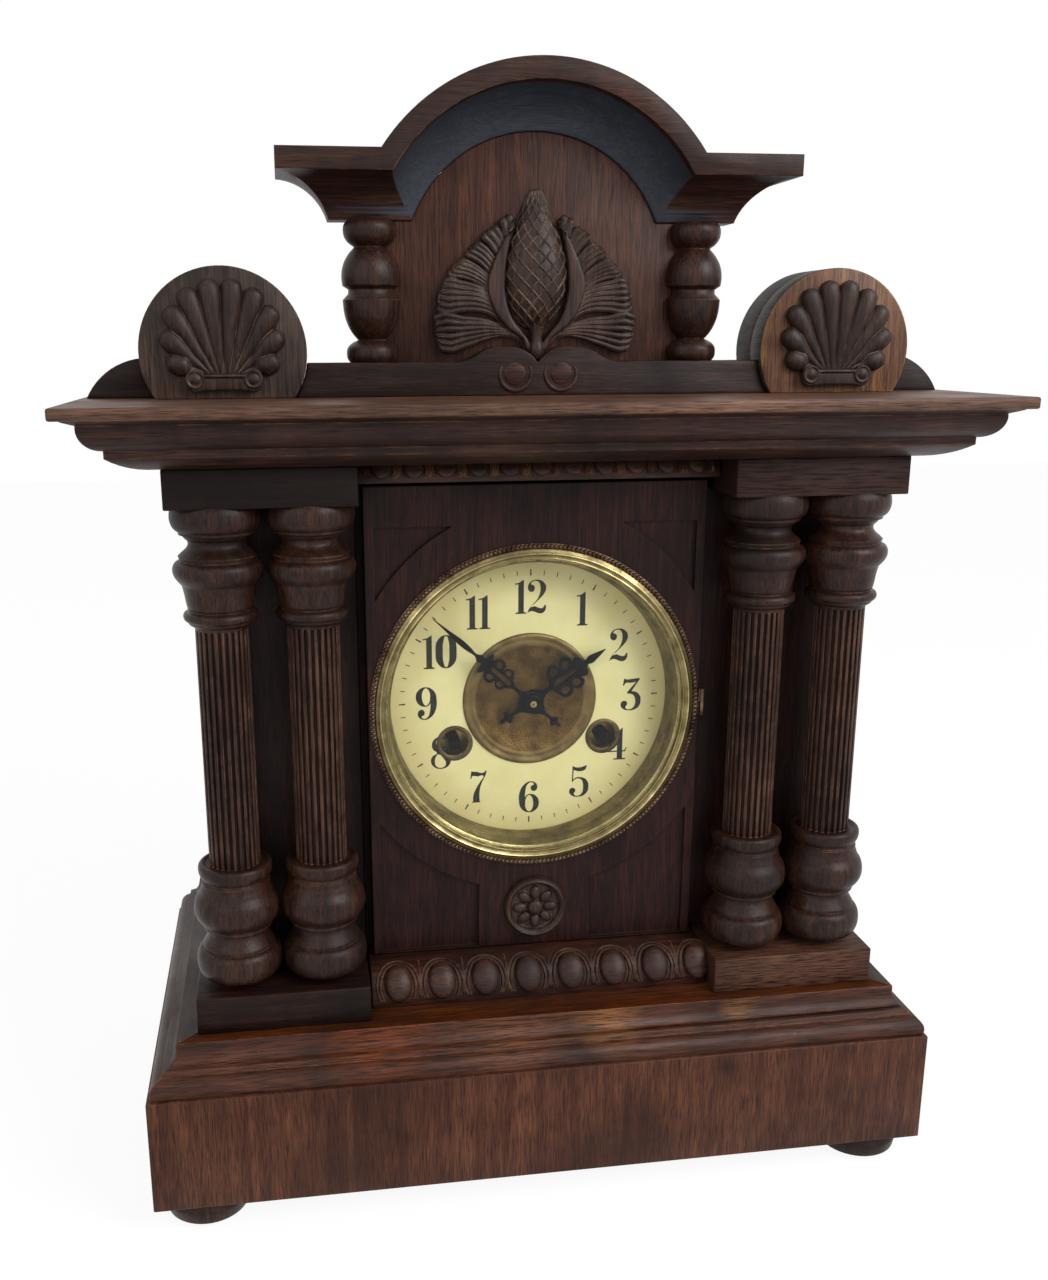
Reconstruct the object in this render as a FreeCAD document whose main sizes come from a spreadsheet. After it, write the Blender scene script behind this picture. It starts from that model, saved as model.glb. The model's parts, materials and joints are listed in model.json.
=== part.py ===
import FreeCAD, Part
import math
import os
import Sketcher
from FreeCAD import Placement, Rotation, Vector

# A spring-driven mantel clock of about 1900 in the old German style.
# The case is a small temple front in dark stained beech and walnut: a plinth on bun feet,
# paired reeded columns, a moulded cornice and an arched crest between two shell roundels.
# X runs to the right, Y to the back and Z up. The origin is on the floor, under the middle
# of the case.

doc = FreeCAD.newDocument("mantel_clock")

# Driving sizes, in millimetres. A name ending in depth_at is measured back from the
# plinth's front face, and one ending in rise is measured up from the dial's centre.
sizes = {
    # Whole case
    "cornice_depth": 200.0,
    "fit_gap": 0.3,
    "running_gap": 0.05,
    "cut_overrun": 5.0,
    # Bun feet
    "foot_height": 13.0,
    "foot_radius": 18.5,
    "foot_side_inset": 21.4,
    "foot_end_inset": 20.0,
    # Plinth boards
    "plinth_width": 342.8,
    "plinth_setback": 12.5,
    "plinth_height": 51.4,
    "plinth_board": 12.0,
    # Base rails and deck
    "base_height": 19.5,
    "base_moulding_inset": 12.6,
    "base_rail_width": 45.0,
    # Pedestals, columns and imposts
    "pedestal_width": 73.5,
    "pedestal_height": 16.3,
    "pedestal_depth_at": 18.2,
    "pair_centre": 113.3,
    "column_depth_at": 36.9,
    "column_height": 205.1,
    "column_radius": 18.2,
    "column_base_height": 51.8,
    "column_cap_height": 52.4,
    "column_pair_gap": 0.2,
    "shaft_radius": 10.6,
    "flute_depth": 1.0,
    "impost_width": 74.2,
    "impost_height": 15.7,
    "impost_depth_at": 20.0,
    # Cornice
    "cornice_overhang": 44.5,
    "cornice_board_thickness": 4.6,
    "cornice_moulding_height": 19.9,
    "cornice_moulding_inset": 33.0,
    # Carcase
    "carcase_width": 280.0,
    "carcase_board": 10.0,
    "carcase_back_setback": 4.0,
    "frame_depth_at": 55.5,
    "frame_thickness": 9.0,
    # Front panel
    "panel_width": 146.0,
    "panel_bottom_margin": 17.1,
    "panel_top_margin": 2.0,
    "panel_depth_at": 46.0,
    "panel_thickness": 12.0,
    "panel_gap": 3.0,
    "panel_ledge": 8.0,
    "dial_opening_radius": 68.0,
    "field_depth": 2.0,
    "field_side_margin": 4.0,
    "field_arc_radius": 85.0,
    "lower_field_width": 43.4,
    "upper_field_width": 32.6,
    "field_border": 0.5,
    "upper_field_margin": 17.0,
    # Carved strips and rosette
    "egg_strip_width": 151.0,
    "lower_egg_height": 16.3,
    "lower_egg_depth_at": 28.0,
    "upper_egg_height": 9.0,
    "upper_egg_depth_at": 38.0,
    "rosette_above_edge": 4.2,
    "rosette_below_bezel": 6.4,
    "rosette_thickness": 4.0,
    # Back door
    "door_gap": 1.5,
    "door_thickness": 10.0,
    "hinge_height": 32.0,
    "hinge_leaf": 8.0,
    "hinge_leaf_thickness": 0.8,
    "hinge_knuckle_radius": 1.6,
    "hinge_pin_radius": 0.8,
    "hinge_end_margin": 40.0,
    "turn_button_length": 32.0,
    "turn_button_width": 9.0,
    "turn_button_thickness": 3.0,
    "turn_button_pin_radius": 1.5,
    "turn_button_pin_length": 7.0,
    # Crest
    "crest_board_width": 133.6,
    "crest_board_thickness": 12.0,
    "crest_board_depth_at": 58.0,
    "arch_centre_height": 47.9,
    "arch_outer_radius": 77.1,
    "arch_opening_radius": 54.0,
    "hood_width": 206.0,
    "hood_slab": 8.0,
    "hood_cove_height": 16.0,
    "hood_cove_width": 20.0,
    "hood_depth_at": 35.8,
    "hood_cove_depth": 21.2,
    "hood_wing_height": 92.0,
    "baluster_radius": 11.9,
    "baluster_foot_height": 13.5,
    "crest_rail_height": 13.5,
    "crest_rail_thickness": 9.0,
    "crest_rail_peak": 19.3,
    "crest_rail_peak_half_width": 13.0,
    "crest_rail_sweep": 24.0,
    "crest_rail_notch": 6.3,
    "baluster_corner": 16.0,
    # Roundels, shells and fins
    "roundel_centre": 125.7,
    "roundel_radius": 32.4,
    "roundel_centre_height": 17.8,
    "roundel_depth_at": 46.5,
    "roundel_front_thickness": 12.0,
    "roundel_back_thickness": 17.0,
    "roundel_joint_groove": 0.8,
    "shell_width": 48.0,
    "shell_height": 42.4,
    "shell_hub_height": 10.0,
    "shell_relief": 5.0,
    "fin_radius": 27.8,
    "fin_centre": 156.0,
    "fin_drop": 12.0,
    "fin_depth_at": 62.0,
    "fin_thickness": 12.0,
    # Pine cone ornament
    "cone_height": 54.7,
    "cone_relief": 9.0,
    "cone_axis_setback": 6.1,
    "cone_foot_height": 25.5,
    "leaf_reach": 44.0,
    "leaf_relief": 4.0,
    "leaf_foot_height": 19.5,
    "leaf_top_height": 69.5,
    # Dial
    "dial_above_middle": 7.2,
    "dial_radius": 64.0,
    "dial_foot_radius": 1.5,
    "dial_foot_across": 30.0,
    "dial_foot_rise": 48.0,
    "dial_thickness": 1.0,
    "dial_foot_length": 9.7,
    "centre_disc_radius": 30.2,
    "centre_disc_thickness": 0.6,
    "winding_across": 33.9,
    "winding_rise": -19.0,
    "grommet_radius": 8.2,
    "grommet_bore": 6.1,
    "grommet_flange": 0.7,
    # Bezel and glass
    "bezel_radius": 72.5,
    "bezel_thickness": 2.2,
    "bezel_inner_radius": 66.0,
    "sight_radius": 62.0,
    "sight_depth": 15.0,
    "sight_wall": 0.8,
    "glass_thickness": 1.6,
    "glass_rise": 2.4,
    "glass_seat": 1.6,
    "bezel_hinge_across": 74.3,
    "bezel_hinge_height": 12.0,
    "bezel_knuckle_radius": 1.1,
    "bezel_pin_radius": 0.5,
    "bezel_leaf": 4.5,
    # Hands
    "hand_thickness": 0.8,
    "minute_hand_length": 59.3,
    "hour_hand_length": 40.0,
    "hour_hand_gap": 3.1,
    "minute_hand_gap": 2.0,
    "minute_hand_angle": -48.0,
    "hour_hand_angle": 56.0,
    "minute_hub_radius": 4.6,
    "hour_hub_radius": 5.4,
    "hand_nut_radius": 3.4,
    "hand_nut_length": 2.0,
    # Movement frame
    "plate_width": 122.0,
    "plate_top_rise": 61.0,
    "plate_bottom_rise": -60.0,
    "plate_thickness": 2.0,
    "plate_spacing": 32.0,
    "pillar_radius": 3.0,
    "pillar_across": 55.0,
    "upper_pillar_rise": 52.0,
    "lower_pillar_rise": -54.0,
    "strap_height": 12.0,
    "strap_thickness": 1.5,
    "strap_inner": 44.0,
    "strap_outer": 86.0,
    "strap_rise": 44.0,
    "batten_width": 16.0,
    "batten_height": 126.0,
    # Barrels and winding arbors
    "winding_square": 4.5,
    "winding_arbor_radius": 3.0,
    "winding_arbor_proud": 2.8,
    "winding_square_length": 11.0,
    "barrel_radius": 29.5,
    "barrel_gap": 2.0,
    "barrel_wheel_thickness": 2.0,
    "strike_barrel_tip_radius": 30.5,
    "strike_barrel_tooth": 2.0,
    # Going train
    "arbor_radius": 1.4,
    "centre_pivot_radius": 0.6,
    "centre_arbor_end": 0.4,
    "wheel_thickness": 1.2,
    "pinion_overhang": 0.6,
    "wheel_step": 3.0,
    "escape_wheel_gap": 14.0,
    "third_across": 14.0,
    "third_rise": 17.0,
    "escape_rise": 36.0,
    "escape_radius": 11.0,
    "escape_tooth": 3.0,
    # Motion work
    "cannon_radius": 2.8,
    "motion_post_drop": 16.8,
    "motion_post_radius": 1.2,
    "cannon_wheel_gap": 4.4,
    "hour_wheel_step": 2.4,
    "hour_pipe_radius": 4.0,
    # Anchor and pendulum
    "pallet_gap": 0.35,
    "pallet_thickness": 0.4,
    "anchor_thickness": 2.2,
    "crutch_length": 34.0,
    "crutch_width": 3.0,
    "crutch_thickness": 1.2,
    "crutch_gap": 2.0,
    "prong_length": 8.0,
    "prong_thickness": 1.0,
    "prong_height": 4.0,
    "pendulum_setback": 5.0,
    "pendulum_length": 108.0,
    "pendulum_rod_radius": 0.9,
    "bob_radius": 19.0,
    "bob_thickness": 7.0,
    "rating_nut_radius": 3.0,
    "rating_nut_height": 3.0,
    "suspension_rise": 2.0,
    "cock_height": 6.0,
    "cock_width": 12.0,
    "cock_length": 10.0,
    # Hammer and gong
    "hammer_across": -54.0,
    "hammer_rise": 40.0,
    "hammer_angle": 32.7,
    "hammer_arbor_radius": 1.5,
    "hammer_arm_length": 71.3,
    "hammer_arm_width": 4.0,
    "hammer_arm_thickness": 1.8,
    "hammer_head_radius": 4.0,
    "hammer_head_length": 15.0,
    "hammer_gap": 10.0,
    "gong_across": -101.0,
    "gong_rod_radius": 1.6,
    "gong_rod_spacing": 8.0,
    "gong_rod_above_deck": 32.0,
    "gong_block_width": 16.0,
    "gong_block_depth": 24.0,
    "gong_block_height": 15.0,
}

sheet = doc.addObject("Spreadsheet::Sheet", "Sizes")
for row, (alias, value) in enumerate(sizes.items(), start=1):
    sheet.set(f"A{row}", alias)
    sheet.set(f"B{row}", str(value))
    sheet.setAlias(f"B{row}", alias)
doc.recompute()


class Length:
    """A length with its number now and the words that bind a dimension to the sheet."""

    def __init__(self, number, words):
        self.number = float(number)
        self.words = words

    def __float__(self):
        return self.number

    def __add__(self, other):
        other = length(other)
        return Length(self.number + other.number, f"({self.words} + {other.words})")

    def __sub__(self, other):
        other = length(other)
        return Length(self.number - other.number, f"({self.words} - {other.words})")

    def __mul__(self, share):
        if not share:
            return length(0)
        return Length(self.number * float(share), f"({self.words} * {float(share):.12g})")

    def __truediv__(self, share):
        return Length(self.number / float(share), f"({self.words} / {float(share):.12g})")

    def __neg__(self):
        return Length(-self.number, f"(-1 * {self.words})")

    __radd__ = __add__
    __rmul__ = __mul__


def length(value):
    """A plain zero joins a sum as it is."""
    return value if isinstance(value, Length) else Length(value, f"{float(value):.12g}")


class Sheet:
    """The sheet's sizes as lengths, one attribute for each alias."""

    def __getattr__(self, alias):
        return Length(sheet.get(alias), f"Sizes.{alias}")


class Millimetres:
    """The sheet's sizes as plain numbers, for shapes that are worked out by formula."""

    def __getattr__(self, alias):
        return float(sheet.get(alias))


size = Sheet()
mm = Millimetres()
zero = length(0)

# Levels up from the floor and lines across the depth, each worked out from the sizes.
front_line = size.plinth_setback - size.cornice_depth / 2
back_line = size.cornice_depth / 2
carcase_back = back_line - size.carcase_back_setback
plinth_top = size.foot_height + size.plinth_height
deck = plinth_top + size.base_height
pedestal_top = deck + size.pedestal_height
column_top = pedestal_top + size.column_height
cornice_bottom = column_top + size.impost_height
cornice_board_bottom = cornice_bottom + size.cornice_moulding_height
crest_floor = cornice_board_bottom + size.cornice_board_thickness
panel_bottom = deck + size.panel_bottom_margin
panel_top = cornice_bottom - size.upper_egg_height - size.panel_top_margin
panel_height = panel_top - panel_bottom
dial_centre = panel_bottom + panel_height / 2 + size.dial_above_middle
half_plinth = size.plinth_width / 2
half_carcase = size.carcase_width / 2
half_cornice = half_carcase + size.cornice_overhang
inner_carcase = half_carcase - size.carcase_board


def at_depth(distance):
    """A line across the depth, measured back from the plinth's front face."""
    return front_line + distance


def at_rise(distance):
    """A level measured up from the dial's centre."""
    return dial_centre + distance


# Depths behind the plinth's front face that follow one another through the movement.
dial_at = size.panel_depth_at + size.sight_depth + size.fit_gap
hour_hand_at = dial_at - size.hour_hand_gap - size.hand_thickness
minute_hand_at = hour_hand_at - size.minute_hand_gap - size.hand_thickness
winding_arbor_end = dial_at - size.winding_arbor_proud
front_plate_at = dial_at + size.dial_thickness + size.dial_foot_length
cannon_wheel_at = front_plate_at - size.cannon_wheel_gap
hour_wheel_at = cannon_wheel_at - size.hour_wheel_step
front_plate_back = front_plate_at + size.plate_thickness
back_plate_at = front_plate_back + size.plate_spacing
back_plate_back = back_plate_at + size.plate_thickness
third_wheel_at = back_plate_at - size.wheel_step
centre_wheel_at = third_wheel_at - size.wheel_step
escape_wheel_at = front_plate_back + size.escape_wheel_gap
barrel_at = front_plate_back + size.barrel_gap + size.barrel_wheel_thickness
barrel_back = centre_wheel_at - size.wheel_step
crutch_at = back_plate_back + size.crutch_gap
pendulum_at = crutch_at + size.pendulum_setback
hammer_at = back_plate_back + size.hammer_gap


# The finished sub-parts, in the order that they are made.
pieces = []


def keep(label, thing):
    """Name a finished sub-part, which also names its file."""
    thing.Label = label
    pieces.append(thing)
    return thing


def bind(thing, path, value):
    value = length(value)
    thing.setExpression(path, value.words)


def put(thing, x=zero, y=zero, z=zero, turn=None):
    """Place a piece, with its position bound to the sheet."""
    rotation = turn or Rotation()
    thing.Placement = Placement(Vector(float(x), float(y), float(z)), rotation)
    for axis, where in zip("xyz", (x, y, z)):
        bind(thing, f"Placement.Base.{axis}", where)
    return thing


# A plate drawn as a front elevation is turned so that its thickness grows to the front.
to_front = Rotation(Vector(1, 0, 0), 90)


def board(label, width, depth, height, x, y, z):
    """A plain board from its lowest corner."""
    box = doc.addObject("Part::Box", label)
    bind(box, "Length", width)
    bind(box, "Width", depth)
    bind(box, "Height", height)
    return put(box, x, y, z)


def rod(label, radius, span, x, y, z, turn=None):
    cylinder = doc.addObject("Part::Cylinder", label)
    bind(cylinder, "Radius", radius)
    bind(cylinder, "Height", span)
    return put(cylinder, x, y, z, turn)


def arbor(label, radius, front_at, back_at, across=zero, rise=zero):
    """A round rod that runs along the depth, from one depth to another."""
    return rod(label, radius, back_at - front_at, across, at_depth(back_at), at_rise(rise),
               to_front)


def mirrored(thing, normal, base=(zero, zero, zero)):
    """The same piece on the other side of a plane."""
    other = doc.addObject("Part::Mirroring", thing.Name + "_mirrored")
    other.Source = thing
    other.Normal = normal
    for axis, where in zip("xyz", base):
        bind(other, f"Base.{axis}", where)
    return other


def together(label, things):
    """Separate solids kept in one node."""
    group = doc.addObject("Part::Compound", label)
    group.Links = things
    return group


def pair(label, thing):
    """A piece and its twin on the other side of the middle."""
    return together(label, [thing, mirrored(thing, Vector(1, 0, 0))])


def cut(label, base, tool):
    result = doc.addObject("Part::Cut", label)
    result.Base = base
    result.Tool = tool
    return result


def fuse(label, things):
    result = doc.addObject("Part::MultiFuse", label)
    result.Shapes = things
    return result


def body_named(label):
    return doc.addObject("PartDesign::Body", label)


def sketch_on(body, role):
    """An empty sketch on one of the body's own origin planes."""
    plane = next(item for item in body.Origin.OriginFeatures if item.Role == role)
    sketch = body.newObject("Sketcher::SketchObject", body.Name + "_sketch")
    sketch.AttachmentSupport = [(plane, "")]
    sketch.MapMode = "FlatFace"
    return sketch


def fix_point(sketch, geometry, end, across, up):
    """Hold a point at its distances from the sketch's origin."""
    for kind, axis, where in (("DistanceX", -2, across), ("DistanceY", -1, up)):
        where = length(where)
        if where.words == "0":
            sketch.addConstraint(Sketcher.Constraint("PointOnObject", geometry, end, axis))
            continue
        constraint = Sketcher.Constraint(kind, -1, 1, geometry, end, where.number)
        index = sketch.addConstraint(constraint)
        sketch.setExpression(f"Constraints[{index}]", where.words)


def outline(sketch, corners):
    """Draw a closed outline. A corner is (across, up) or (across, up, bulge), where the
    bulge is the rise of the arc to the next corner as a share of its chord, and a
    positive one swells to the right of the way that the outline runs."""
    full = with_bulges(corners)
    ends = []
    for index, (across, up, bulge) in enumerate(full):
        next_across, next_up, _ = full[(index + 1) % len(full)]
        start = Vector(float(across), float(up), 0)
        finish = Vector(float(next_across), float(next_up), 0)
        if not bulge:
            geometry = sketch.addGeometry(Part.LineSegment(start, finish))
            ends.append((geometry, 1, 2))
            continue
        chord = finish - start
        radius_share = (0.25 + bulge * bulge) / (2 * abs(bulge))
        to_centre = (radius_share - abs(bulge)) * math.copysign(1, bulge)
        side = Vector(-chord.y, chord.x, 0) * to_centre
        centre = (start + finish) / 2 + side
        first, last = (start, finish) if bulge > 0 else (finish, start)
        from_angle = math.atan2(first.y - centre.y, first.x - centre.x)
        to_angle = math.atan2(last.y - centre.y, last.x - centre.x)
        if to_angle < from_angle:
            to_angle += 2 * math.pi
        circle = Part.Circle(centre, Vector(0, 0, 1), chord.Length * radius_share)
        geometry = sketch.addGeometry(Part.ArcOfCircle(circle, from_angle, to_angle))
        ends.append((geometry, 1, 2) if bulge > 0 else (geometry, 2, 1))
        run, climb = next_across - across, next_up - up
        radius = Sketcher.Constraint("Radius", geometry, chord.Length * radius_share)
        radius_index = sketch.addConstraint(radius)
        words = f"sqrt(({run.words})^2 + ({climb.words})^2) * {radius_share:.12g}"
        sketch.setExpression(f"Constraints[{radius_index}]", words)
    for index, (geometry, start_end, finish_end) in enumerate(ends):
        next_geometry, next_start, _ = ends[(index + 1) % len(ends)]
        meet = Sketcher.Constraint("Coincident", geometry, finish_end, next_geometry, next_start)
        sketch.addConstraint(meet)
        fix_point(sketch, geometry, start_end, full[index][0], full[index][1])
    return sketch


def circle_on(sketch, radius, across=zero, up=zero):
    centre = Vector(float(across), float(up), 0)
    geometry = sketch.addGeometry(Part.Circle(centre, Vector(0, 0, 1), float(radius)))
    index = sketch.addConstraint(Sketcher.Constraint("Radius", geometry, float(radius)))
    sketch.setExpression(f"Constraints[{index}]", length(radius).words)
    fix_point(sketch, geometry, 3, across, up)
    return sketch


def rectangle(left, bottom, right, top):
    return [(left, bottom), (right, bottom), (right, top), (left, top)]


def with_bulges(corners):
    """Corners with a straight stretch, bulge zero, where none is given."""
    return [(length(corner[0]), length(corner[1]), corner[2] if len(corner) > 2 else 0)
            for corner in corners]


def both_sides(right_half):
    """Complete an outline from its right half, given from the bottom to the top."""
    full = with_bulges(right_half)
    if full[-1][0].words == "0":
        full[-1] = (full[-1][0], full[-1][1], full[-2][2])
    left_half = []
    for index in range(len(full) - 1, -1, -1):
        across, up, _ = full[index]
        if across.words != "0":
            left_half.append((-across, up, full[index - 1][2] if index else 0))
    return full + left_half


def pad(body, sketch, thickness, both_ways=False, backwards=False):
    feature = body.newObject("PartDesign::Pad", body.Name + "_pad")
    feature.Profile = sketch
    bind(feature, "Length", thickness)
    feature.SideType = "Symmetric" if both_ways else "One side"
    feature.Reversed = backwards
    return feature


def pocket(body, sketch, thickness, both_ways=False, backwards=False):
    feature = body.newObject("PartDesign::Pocket", body.Name + "_pocket")
    feature.Profile = sketch
    bind(feature, "Length", thickness)
    feature.SideType = "Symmetric" if both_ways else "One side"
    feature.Reversed = backwards
    return feature


def revolve(body, sketch, kind="Revolution", axis="V_Axis", angle=360):
    feature = body.newObject("PartDesign::" + kind, body.Name + "_turned")
    feature.Profile = sketch
    feature.ReferenceAxis = (sketch, [axis])
    feature.Angle = angle
    return feature


def turned_corners(shares, radius, height, first_up=zero):
    """Corners of a turned profile from shares of its radius and its height."""
    return [(radius * share[0], first_up + height * share[1], *share[2:]) for share in shares]


def turned(label, corners, angle=360):
    """A piece turned about its own Z axis, from the corners of its right side."""
    body = body_named(label)
    closed = [(zero, corners[0][1]), *corners, (zero, corners[-1][1])]
    revolve(body, outline(sketch_on(body, "XZ_Plane"), closed), angle=angle)
    return body


def plate(label, corners, thickness):
    """A plate drawn as a front elevation and padded towards the front."""
    body = body_named(label)
    pad(body, outline(sketch_on(body, "XY_Plane"), corners), thickness)
    return body


# Bun feet: four flattened turned balls, one near each corner of the plinth.
foot_profile_shares = [(0.65, 0.0), (0.95, 0.24), (1.0, 0.62), (0.87, 1.0)]
foot_across = half_plinth - size.foot_side_inset
case_middle = (front_line + back_line) / 2


def bun_feet():
    foot = turned("foot", turned_corners(foot_profile_shares, size.foot_radius, size.foot_height))
    put(foot, foot_across, at_depth(size.foot_end_inset))
    front_pair = pair("front_feet", foot)
    back_pair = mirrored(front_pair, Vector(0, 1, 0), (zero, case_middle, zero))
    keep("bun_feet", together("feet", [front_pair, back_pair]))


bun_feet()


# Plinth: a veneered front board over the whole width, two sides and a back.
def plinth():
    inner = half_plinth - size.plinth_board
    side_start = at_depth(size.plinth_board)
    side_depth = back_line - side_start
    back_start = back_line - size.plinth_board
    keep("plinth_front", board("plinth_front", size.plinth_width, size.plinth_board,
                               size.plinth_height, -half_plinth, front_line, size.foot_height))
    side = board("plinth_side", size.plinth_board, side_depth, size.plinth_height,
                 inner, side_start, size.foot_height)
    keep("plinth_sides", pair("plinth_side_pair", side))
    keep("plinth_back", board("plinth_back", inner * 2, size.plinth_board,
                              size.plinth_height, -inner, back_start, size.foot_height))


plinth()


def moulding_run(label, corners, run):
    """A straight moulding drawn as (inset, up) and run along the front, from -X to +X."""
    body = body_named(label)
    pad(body, outline(sketch_on(body, "YZ_Plane"), corners), run, both_ways=True)
    return body


def mitred_front(label, corners, half_width, front, side_strip, depth, bottom, height):
    """A front moulding whose ends are mitred back to the inner face of the side strips."""
    body = moulding_run(label, corners, half_width * 2)
    inner = half_width - side_strip
    outer = half_width + size.cut_overrun
    end = [(half_width, zero), (outer, zero), (outer, depth), (inner, depth),
           (inner, side_strip)]
    for corners_here in (end, [(-x, y) for x, y in reversed(end)]):
        mitre = outline(sketch_on(body, "XY_Plane"), corners_here)
        pocket(body, mitre, height * 2 + size.cut_overrun, both_ways=True)
    return put(body, zero, front, bottom)


def mitred_side(label, corners, half_width, front, side_strip, bottom, height):
    """The return of the same moulding along the right side, mitred at its front end."""
    body = body_named(label)
    run = back_line - front
    pad(body, outline(sketch_on(body, "XZ_Plane"), corners), run, backwards=True)
    mitre = [(zero, zero), (-side_strip - size.cut_overrun, side_strip + size.cut_overrun),
             (-side_strip - size.cut_overrun, -size.cut_overrun), (zero, -size.cut_overrun)]
    pocket(body, outline(sketch_on(body, "XY_Plane"), mitre),
           height * 2 + size.cut_overrun, both_ways=True)
    return put(body, half_width, front, bottom)


def front_profile(shares, inset, height, width):
    """Moulding corners for the front run, outer face first, from shares of its insets."""
    edge = with_bulges([(inset * share[0], height * share[1], *share[2:]) for share in shares])
    downwards = []
    for index in range(len(edge) - 1, -1, -1):
        across, up, _ = edge[index]
        downwards.append((across, up, edge[index - 1][2] if index else 0))
    return [(width, zero), (width, height)] + downwards


def side_profile(shares, inset, height, width):
    """The same corners for the right-hand return, whose inset runs towards -X."""
    edge = [(-inset * share[0], height * share[1], *share[2:]) for share in shares]
    return edge + [(-width, height), (-width, zero)]


# Base rails: a bead, a narrow ledge and a hollow, mitred round the front corners.
base_moulding_shares = [(0.12, 0.0), (0.12, 0.07, 0.22), (0.5, 0.41), (0.55, 0.52),
                        (0.76, 0.55, -0.12), (0.99, 0.9), (1.0, 1.0)]


def base():
    width, height = size.base_rail_width, size.base_height
    inset = size.base_moulding_inset
    front = mitred_front("base_rail_front",
                         front_profile(base_moulding_shares, inset, height, width),
                         half_plinth, front_line, width, width + size.cut_overrun,
                         plinth_top, height)
    side = mitred_side("base_rail_side",
                       side_profile(base_moulding_shares, inset, height, width),
                       half_plinth, front_line, width, plinth_top, height)
    keep("base_rails", together("base_rails", [front, pair("base_rail_sides", side)]))
    deck_half = half_plinth - width
    keep("base_deck", board("base_deck", deck_half * 2, back_line - at_depth(width), height,
                            -deck_half, at_depth(width), plinth_top))


base()


# Pedestals under the column pairs, and imposts over them.
def pedestals_and_imposts():
    half = size.pedestal_width / 2
    block = board("pedestal", size.pedestal_width, size.frame_depth_at - size.pedestal_depth_at,
                  size.pedestal_height, size.pair_centre - half,
                  at_depth(size.pedestal_depth_at), deck)
    keep("pedestals", pair("pedestal_pair", block))
    half = size.impost_width / 2
    block = board("impost", size.impost_width, size.frame_depth_at - size.impost_depth_at,
                  size.impost_height, size.pair_centre - half,
                  at_depth(size.impost_depth_at), column_top)
    keep("imposts", pair("impost_pair", block))


# The carcase front starts behind the pedestals' and imposts' front parts.
pedestals_and_imposts()

# Columns: each turned from one billet. The base has a torus, a hollow, two beads, a bulb
# and a collar, and the cap has rings, a cup and a second torus over a narrow waist.
column_base_shares = [
    (0.81, 0.0, 0.25), (0.83, 0.243), (0.87, 0.249), (0.87, 0.267), (0.83, 0.276, -0.1),
    (0.78, 0.377), (0.82, 0.384, 0.3), (0.84, 0.412), (0.84, 0.413, 0.25), (0.88, 0.442, 0.1),
    (0.99, 0.577, 0.14), (0.87, 0.69, -0.08), (0.83, 0.745), (0.82, 0.865), (0.75, 0.873),
    (0.75, 0.893), (0.8, 0.896, 0.3), (0.8, 0.93), (0.79, 0.935, 0.35), (0.8, 0.996),
    (0.69, 1.0)]
column_cap_shares = [
    (0.65, 0.0), (0.67, 0.01, 0.3), (0.69, 0.05), (0.7, 0.052, 0.33), (0.7, 0.12),
    (0.68, 0.126), (0.68, 0.145), (0.76, 0.149), (0.77, 0.165), (0.8, 0.286, -0.08),
    (0.9, 0.36, 0.1), (0.99, 0.458, 0.16), (0.9, 0.53), (0.85, 0.54, 0.25), (0.84, 0.573),
    (0.76, 0.59), (0.69, 0.622), (0.68, 0.653), (0.71, 0.676), (0.77, 0.697), (0.82, 0.71),
    (0.82, 0.742), (0.86, 0.748, 0.25), (0.89, 0.92), (0.88, 0.928), (0.88, 1.0)]
flute_count = 24
flute_land_share = 0.5


def shaft_corners(radius, hollow):
    """Round a fluted shaft: a flat land, then a hollow down to the flute's floor."""
    corners = []
    pitch = 2 * math.pi / flute_count
    for flute in range(flute_count):
        land_end = pitch * flute_land_share
        for angle, reach in ((0, radius), (land_end, radius), ((land_end + pitch) / 2, hollow)):
            turn = flute * pitch + angle
            corners.append((reach * math.cos(turn), reach * math.sin(turn)))
    return corners


def column(label, across):
    base_corners = turned_corners(column_base_shares, size.column_radius,
                                  size.column_base_height)
    cap_bottom = size.column_height - size.column_cap_height
    cap_corners = turned_corners(column_cap_shares, size.column_radius,
                                 size.column_cap_height, cap_bottom)
    foot = turned(f"{label}_foot", base_corners)
    cap = turned(f"{label}_cap", cap_corners)
    shaft = body_named(f"{label}_shaft")
    profile = outline(sketch_on(shaft, "XY_Plane"),
                      shaft_corners(size.shaft_radius, size.shaft_radius - size.flute_depth))
    bind(profile, "AttachmentOffset.Base.z", size.column_base_height)
    pad(shaft, profile, cap_bottom - size.column_base_height)
    whole = fuse(f"{label}_whole", [foot, shaft, cap])
    keep(label, put(whole, across, at_depth(size.column_depth_at), pedestal_top))


half_spacing = size.column_radius + size.column_pair_gap / 2
column("column_left_outer", -size.pair_centre - half_spacing)
column("column_left_inner", -size.pair_centre + half_spacing)
column("column_right_inner", size.pair_centre - half_spacing)
column("column_right_outer", size.pair_centre + half_spacing)

# Cornice: a thin top board over a deep moulding, mitred round the front corners.
cornice_moulding_shares = [(1.0, 0.0, 0.08), (0.49, 0.28), (0.49, 0.42, 0.22), (0.25, 0.9),
                           (0.13, 0.97), (0.1, 1.0)]


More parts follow.
